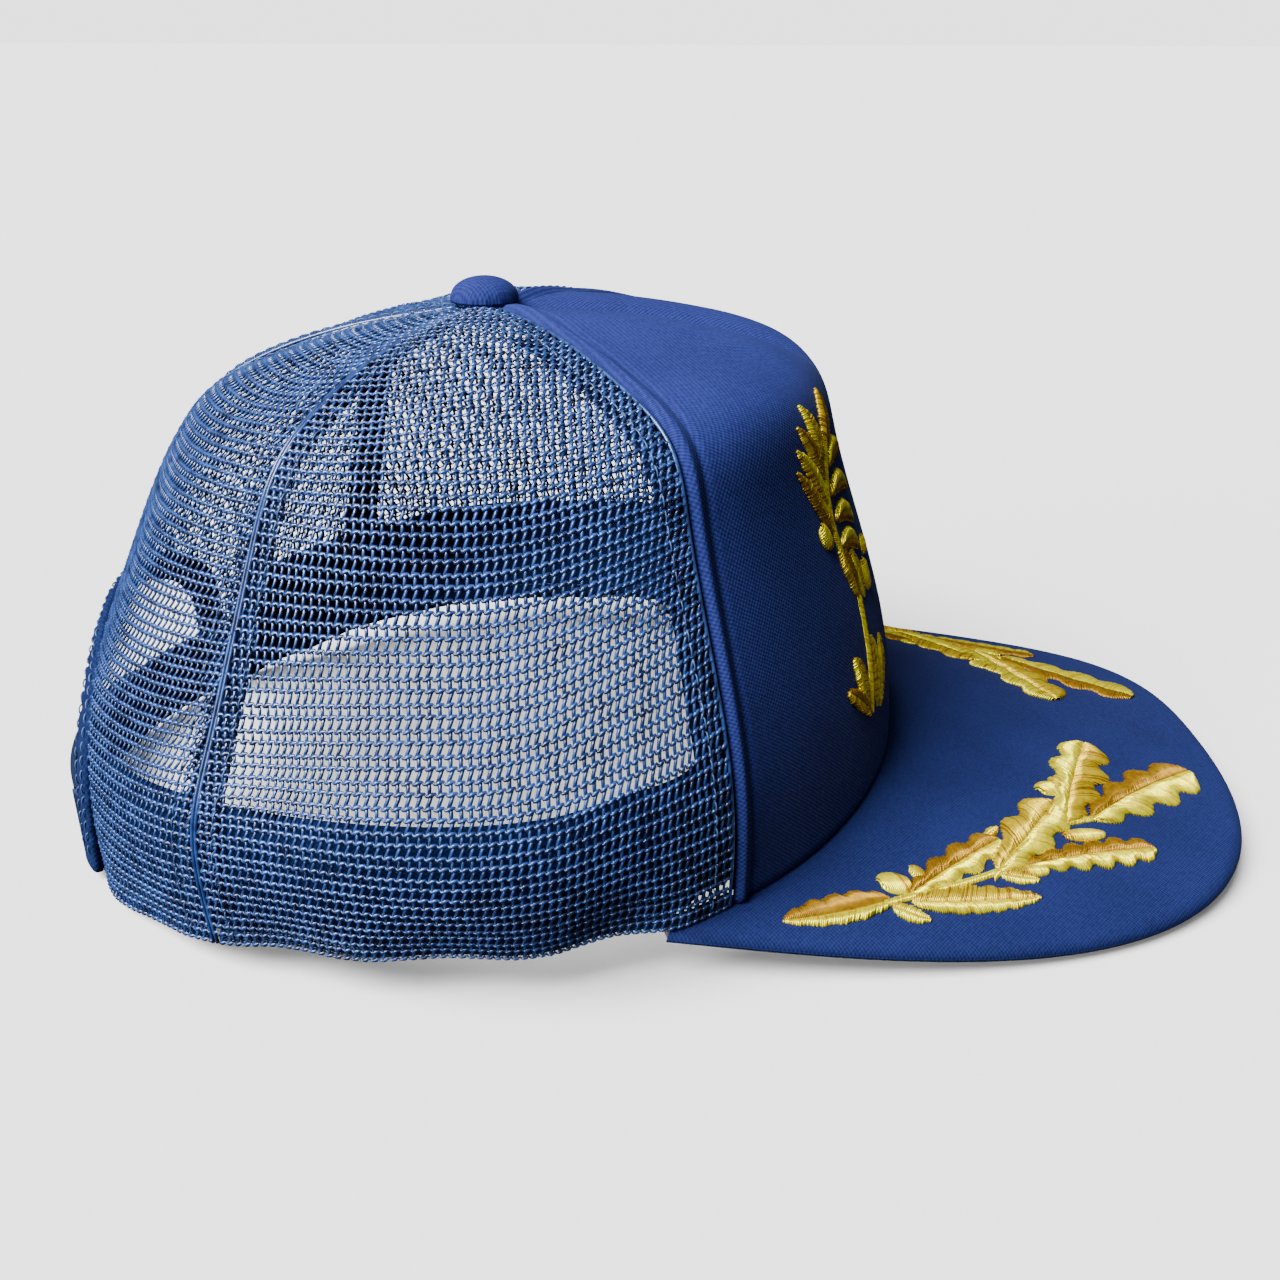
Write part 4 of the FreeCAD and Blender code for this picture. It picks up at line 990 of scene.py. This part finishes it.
def blade(parts, place, leaf, lift):
    """Leaf in satin stitch: two halves of slanted threads that meet in a sunken midrib."""
    base, tip, left, right, kinds, lobes, blunt, bend = leaf
    base, tip = np.array(base), np.array(tip)
    length = np.linalg.norm(tip - base)
    axis = (tip - base) / length
    normal = np.array([-axis[1], axis[0]])

    def midrib(share):
        return base + axis * length * share[:, None] + (4 * bend * share * (1 - share))[:, None] * normal

    count = max(int(length / THREAD_PITCH), 5)
    # Each half takes its own painted tone of the gold, lit or shaded, for the light that its threads catch.
    for sign, width, kind in ((1, left, kinds[0]), (-1, right, kinds[1])):
        share = (np.arange(count) + 0.5) / count
        starts = midrib(share) - normal * sign * 0.18
        reach = share + THREAD_SLANT * blade_outline(share, width, 0, blunt) / length * (1 - share)
        reach = np.clip(reach, 0.01, 0.995)
        out = blade_outline(reach, width, lobes, blunt) + RANDOM.uniform(-0.16, 0.16, count)
        ends = midrib(reach) + normal * sign * np.maximum(out, 0.25)[:, None]
        satin(parts, place, starts, ends, lift, kind)
        stations = np.linspace(0.03, 0.97, 26)
        across = np.linspace(0, 0.9, 7)
        spread = blade_outline(stations, width, lobes, blunt)[:, None] * across
        flat = midrib(stations)[:, None] + normal * sign * spread[..., None]
        dome = 0.72 * lift * np.sin(np.pi * np.clip(0.12 + 0.85 * across, 0, 1)) ** 0.6
        padding(parts, place, flat, dome - 0.22, kind)


def nut(parts, place, centre, radius, length, toward):
    """Acorn or berry: an oval of threads laid across it, with a cap in the painted half-shade tone of the
    gold.
    """
    axis = np.array([math.cos(math.radians(toward)), math.sin(math.radians(toward))])
    normal = np.array([-axis[1], axis[0]])
    slope = (normal - axis * 0.35) * radius
    count = max(int(2 * length / THREAD_PITCH), 6)
    along = (np.arange(count) + 0.5) / count * 2 - 1
    half = np.sqrt(1 - along ** 2 * 0.97)[:, None] * slope
    middle = centre + axis * (along * length)[:, None]
    for chosen, kind in ((along >= NUT_CAP, PAINTED_LIT), (along < NUT_CAP, PAINTED_HALF_SHADE)):
        satin(parts, place, (middle - half)[chosen], (middle + half)[chosen], 1.0, kind)
    turns = np.linspace(0, 2 * np.pi, 24)
    rings = np.linspace(0, 0.9, 6)
    oval = axis * length * np.cos(turns)[:, None] + normal * radius * np.sin(turns)[:, None]
    flat = centre + oval * rings[:, None, None]
    padding(parts, place, flat, (0.6 * np.sqrt(1 - rings ** 2))[:, None], PAINTED_LIT)


def stalk(parts, place, line, width, kind):
    """Narrow stem of short threads laid slantwise across a curved line."""
    line = np.array(line, float)
    along = arc_lengths(line)
    curve = [natural_spline(list(zip(along, line[:, i]))) for i in (0, 1)]
    where = np.arange(0, along[-1], THREAD_PITCH)
    path = np.stack([curve[0](where), curve[1](where)], -1)
    ahead = unit(np.gradient(path, axis=0)) * width
    half = np.stack([-ahead[:, 1], ahead[:, 0]], -1) / 2 + ahead * 0.35
    satin(parts, place, path - half, path + half, 0.75, kind)


# Each leaf: base, tip, width to its left and right, golds of the two halves (painted lit and shaded tones),
# lobes, blunt, bend.
VISOR_LEAVES = [
    ((-70.6, -49.0), (-77.9, -26.1), 2.6, 4.6, (PAINTED_LIT, PAINTED_SHADE), 5, False, 0.6),
    ((-72.0, -49.0), (-74.2, -56.6), 1.7, 2.0, (PAINTED_LIT, PAINTED_LIT), 0, False, 0.0),
    ((-68.8, -53.1), (-51.2, -75.4), 4.6, 4.4, (PAINTED_SHADE, PAINTED_LIT), 4, True, 0.3),
    ((-70.5, -53.2), (-65.9, -81.2), 4.3, 2.9, (PAINTED_HALF_SHADE, PAINTED_LIT), 7, False, -0.5),
    ((-50.8, -72.6), (-47.4, -76.0), 1.2, 1.2, (PAINTED_LIT, PAINTED_HALF_SHADE), 0, False, 0.0),
    ((-61.0, -73.5), (-61.4, -82.0), 1.9, 1.7, (PAINTED_HALF_SHADE, PAINTED_LIT), 0, False, 0.0),
    ((-58.3, -79.2), (-48.9, -110.6), 4.1, 4.3, (PAINTED_SHADE, PAINTED_LIT), 6, True, 0.8),
    ((-60.8, -73.2), (-37.4, -91.4), 6.6, 6.4, (PAINTED_HALF_SHADE, PAINTED_LIT), 3, True, 0.0),
    ((-41.8, -98.6), (-19.4, -128.6), 6.4, 8.0, (PAINTED_SHADE, PAINTED_LIT), 4, True, 1.2),
    ((-44.0, -92.0), (-11.6, -105.6), 6.0, 8.2, (PAINTED_LIT, PAINTED_HALF_SHADE), 4, True, 0.6),
    ((-42.8, -88.6), (-37.4, -93.0), 2.6, 2.6, (PAINTED_HALF_SHADE, PAINTED_LIT), 0, True, 0.0),
]
# Acorns and berries: centre, half width, half length, direction of the point.
VISOR_NUTS = [
    ((-66.2, -50.3), 2.9, 3.4, 100), ((-62.9, -55.6), 1.7, 1.9, 60), ((-32.2, -91.6), 2.7, 3.3, 120),
    ((-47.0, -95.4), 1.9, 5.0, -76), ((-59.0, -81.5), 1.6, 3.0, -80),
]
VISOR_STALKS = [[(-71.5, -47.5), (-68.0, -56.0), (-62.0, -70.0), (-57.0, -79.0)],
                [(-62.0, -72.0), (-52.0, -81.0), (-44.0, -92.0), (-41.0, -100.0)]]
# Laurel on one half of the front panel: across, up.
FRONT_LEAVES = [
    ((-27.0, 93.0), (-19.8, 104.0), 2.1, 2.1, (PAINTED_HALF_SHADE, PAINTED_SHADE), 0, False, 0.4),
    ((-30.5, 92.5), (-32.3, 103.6), 1.9, 1.9, (PAINTED_LIT, PAINTED_HALF_SHADE), 0, False, -0.4),
    ((-31.8, 88.5), (-37.0, 100.4), 1.9, 1.9, (PAINTED_HALF_SHADE, PAINTED_SHADE), 0, False, -0.5),
    ((-32.8, 83.5), (-39.6, 96.4), 1.9, 1.9, (PAINTED_HALF_SHADE, PAINTED_LIT), 0, False, -0.5),
    ((-34.0, 77.5), (-41.2, 92.4), 1.8, 1.8, (PAINTED_SHADE, PAINTED_HALF_SHADE), 0, False, -0.6),
    ((-28.6, 89.6), (-15.5, 90.0), 2.6, 2.2, (PAINTED_LIT, PAINTED_SHADE), 0, False, 2.2),
    ((-30.2, 84.0), (-17.0, 81.4), 2.6, 2.2, (PAINTED_LIT, PAINTED_SHADE), 0, False, 2.4),
    ((-31.2, 79.0), (-19.4, 74.6), 2.6, 2.2, (PAINTED_LIT, PAINTED_SHADE), 0, False, 2.2),
    ((-32.0, 73.6), (-21.2, 69.2), 2.6, 2.2, (PAINTED_LIT, PAINTED_SHADE), 0, False, 1.8),
    ((-33.6, 73.5), (-31.0, 61.0), 2.6, 2.4, (PAINTED_SHADE, PAINTED_HALF_SHADE), 0, False, 0.4),
    ((-28.6, 71.5), (-27.6, 60.0), 2.4, 2.4, (PAINTED_HALF_SHADE, PAINTED_LIT), 0, False, 0.0),
    ((-40.6, 51.6), (-39.4, 38.6), 2.2, 2.0, (PAINTED_HALF_SHADE, PAINTED_LIT), 0, False, 0.4),
    ((-46.0, 46.0), (-38.0, 36.6), 2.0, 1.9, (PAINTED_SHADE, PAINTED_HALF_SHADE), 0, False, 0.4),
    ((-30.6, 52.4), (-33.6, 36.4), 2.3, 2.1, (PAINTED_LIT, PAINTED_HALF_SHADE), 0, False, 0.6),
    ((-24.0, 50.0), (-31.0, 35.0), 2.1, 2.0, (PAINTED_HALF_SHADE, PAINTED_LIT), 0, False, 0.6),
]
FRONT_NUTS = [((-37.6, 77.6), 2.1, 2.7, 110), ((-22.6, 63.6), 2.4, 3.3, 80), ((-17.0, 68.4), 1.7, 2.2, 60)]
FRONT_STALKS = [[(-27.2, 94.0), (-31.0, 87.0), (-33.4, 78.0), (-33.0, 72.0)],
                [(-31.0, 61.5), (-34.0, 48.0), (-37.6, 37.0)]]


def make_spray(parts, place, leaves, nuts, stalks, lift):
    for line in stalks:
        stalk(parts, place, line, 1.5, PAINTED_LIT)
    for leaf in leaves:
        blade(parts, place, leaf, lift)
    for shape in nuts:
        nut(parts, place, *shape)


def make_embroidery():
    for name, side in SIDES:
        parts = Parts()
        make_spray(parts, on_visor(side), VISOR_LEAVES, VISOR_NUTS, VISOR_STALKS, 1.0)
        stands_for(parts.piece(f"visor_spray_{name}", GOLDS), "gold_thread", f"visor_embroidery_{name}")
    parts = Parts()
    for side in (1, -1):
        make_spray(parts, on_front(side), FRONT_LEAVES, FRONT_NUTS, FRONT_STALKS, 0.9)
    stands_for(parts.piece("front_laurel", GOLDS), "gold_thread", "front_embroidery")


# ------------------------------------------------------------------ CAD pieces that stay
KEPT = {
    "hole_strap": STRAP_PLASTIC, "hole_strap_tab": STRAP_PLASTIC, "stud_strap": STRAP_PLASTIC,
    "stud_strap_tab": STRAP_PLASTIC, "strap_studs": STRAP_PLASTIC, "visor_board": BOARD_PLASTIC,
    "button_shell": BUTTON_METAL, "button_rivet": BUTTON_METAL,
}


def paint_kept():
    for node, material in KEPT.items():
        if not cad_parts[node].material_slots:
            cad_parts[node].data.materials.append(material)
        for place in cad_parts[node].material_slots:
            place.material = material


# ------------------------------------------------------------------ strap roots
# Webs of plastic from the line each strap bends about to its sewn end: x and y of both.
STRAP_ROOTS = {
    "hole_strap_root": ((-40.3, 128.2), (-43.4, 124.2)),
    "stud_strap_root": ((38.9, 125.8), (43.4, 123.8)),
}
ROOT_HEIGHTS = (1.3, 18.7)
ROOT_THICKNESS = 1.1


def make_strap_roots():
    for name, (start, end) in STRAP_ROOTS.items():
        start, end = np.array(start), np.array(end)
        ahead = (end - start) / np.linalg.norm(end - start)
        aside = np.array([-ahead[1], ahead[0]]) * ROOT_THICKNESS / 2
        z, share = np.meshgrid(np.linspace(*ROOT_HEIGHTS, 14), np.linspace(0, 1, 9), indexing="ij")
        flat = start + (end - start) * share[..., None]
        front, back = (np.concatenate([flat + aside * sign, z[..., None]], -1) for sign in (1, -1))
        points, faces = shell(back, front)
        piece = new_piece(name, points, faces, [STRAP_PLASTIC])
        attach(piece, "cap")


# ------------------------------------------------------------------ stage
CAMERA_TARGET = Vector((0, 2.41, 36.76)) * MM
CAMERA_DISTANCE = 319.6 * MM
CAMERA_ELEVATION = math.radians(24.83)
CAMERA_ROLL = math.radians(0.157)
CAMERA_ASIDE = -0.0005
CAMERA_LENS = 36.74
FLOOR_HALF = 30.0
# The floor lies a little below the cap, so that the two don't fight for the same place.
FLOOR_DROP = 0.2 * MM
SKY = 0.18
# What the camera sees past the floor, as bright as the floor itself.
BACKDROP = 3.2
# Each lamp: the way towards it, its strength and the angle that it covers in degrees.
LAMPS = {
    "key": ((-0.32, 0.50, 0.80), 10.5, 38.0),
    "side": ((-0.55, 0.80, 0.25), 1.8, 25.0),
}


def make_camera():
    scene = bpy.context.scene
    out = Vector((-math.cos(CAMERA_ELEVATION), CAMERA_ASIDE, math.sin(CAMERA_ELEVATION)))
    eye = CAMERA_TARGET + out.normalized() * CAMERA_DISTANCE
    data = bpy.data.cameras.new("camera")
    data.sensor_width = 36.0
    data.lens = CAMERA_LENS
    data.clip_start = 0.01
    data.clip_end = 100.0
    camera = bpy.data.objects.new("camera", data)
    scene.collection.objects.link(camera)
    turn = (CAMERA_TARGET - eye).to_track_quat("-Z", "Y").to_matrix().to_4x4()
    camera.matrix_world = Matrix.Translation(eye) @ turn @ Matrix.Rotation(CAMERA_ROLL, 4, "Z")
    scene.camera = camera


def make_floor():
    """Pale paper that the cap stands on; it throws no light back on the cap."""
    look = Look("floor_paper")
    grey = look.ramp(look.noise(look.place, 300.0, 2.0), (0.90, 0.90, 0.90), (0.93, 0.93, 0.93))
    paper = look.surface(Base_Color=grey, Roughness=1.0, Specular_IOR_Level=0.0,
                         Emission_Color=(1, 1, 1, 1), Emission_Strength=0.10)
    mesh = bpy.data.meshes.new("floor")
    corners = [(x * FLOOR_HALF, y * FLOOR_HALF, 0) for x, y in ((-1, -1), (1, -1), (1, 1), (-1, 1))]
    mesh.from_pydata(corners, [], [(0, 1, 2, 3)])
    mesh.materials.append(paper)
    floor = bpy.data.objects.new("floor", mesh)
    bpy.context.scene.collection.objects.link(floor)
    floor.location.z = -FLOOR_DROP
    floor.visible_diffuse = False
    floor.visible_glossy = False


def make_world():
    """Dim even sky above the horizon, and a plain bright backdrop where the camera looks past the floor."""
    world = bpy.data.worlds.new("studio")
    bpy.context.scene.world = world
    world.use_nodes = True
    graph = Graph(world.node_tree)
    direction = graph.node("TexCoord").outputs["Generated"]
    height = graph.node("SeparateXYZ", Vector=direction).outputs["Z"]
    level = graph.calculate("MULTIPLY_ADD", height, 0.5, 0.5)
    shade = graph.ramp(level, (0.05, 0.05, 0.06), (1.0, 1.0, 1.0), (0.49, 0.505))
    sky = graph.fill(graph.nodes["Background"], Color=shade, Strength=SKY).outputs[0]
    backdrop = graph.node("Background", Strength=BACKDROP).outputs[0]
    either = graph.node("MixShader")
    graph.plug(either.inputs, (graph.node("LightPath").outputs["Is Camera Ray"], sky, backdrop))
    graph.fill(graph.nodes["World Output"], Surface=either.outputs[0])


def make_lamps():
    for name, (toward, power, spread) in LAMPS.items():
        light = bpy.data.lights.new(name, "SUN")
        light.angle = math.radians(spread)
        light.energy = power
        lamp = bpy.data.objects.new(name, light)
        lamp.rotation_euler = (-Vector(toward)).to_track_quat("-Z", "Y").to_euler()
        lamp.location = Vector(toward)
        bpy.context.scene.collection.objects.link(lamp)


make_front_panel()
make_front_foam()
make_mesh_panels()
make_tapes()
make_binding()
make_sweatband()
make_visor()
make_button()
make_embroidery()
paint_kept()
make_strap_roots()
make_camera()
make_floor()
make_world()
make_lamps()

bpy.context.view_layer.update()
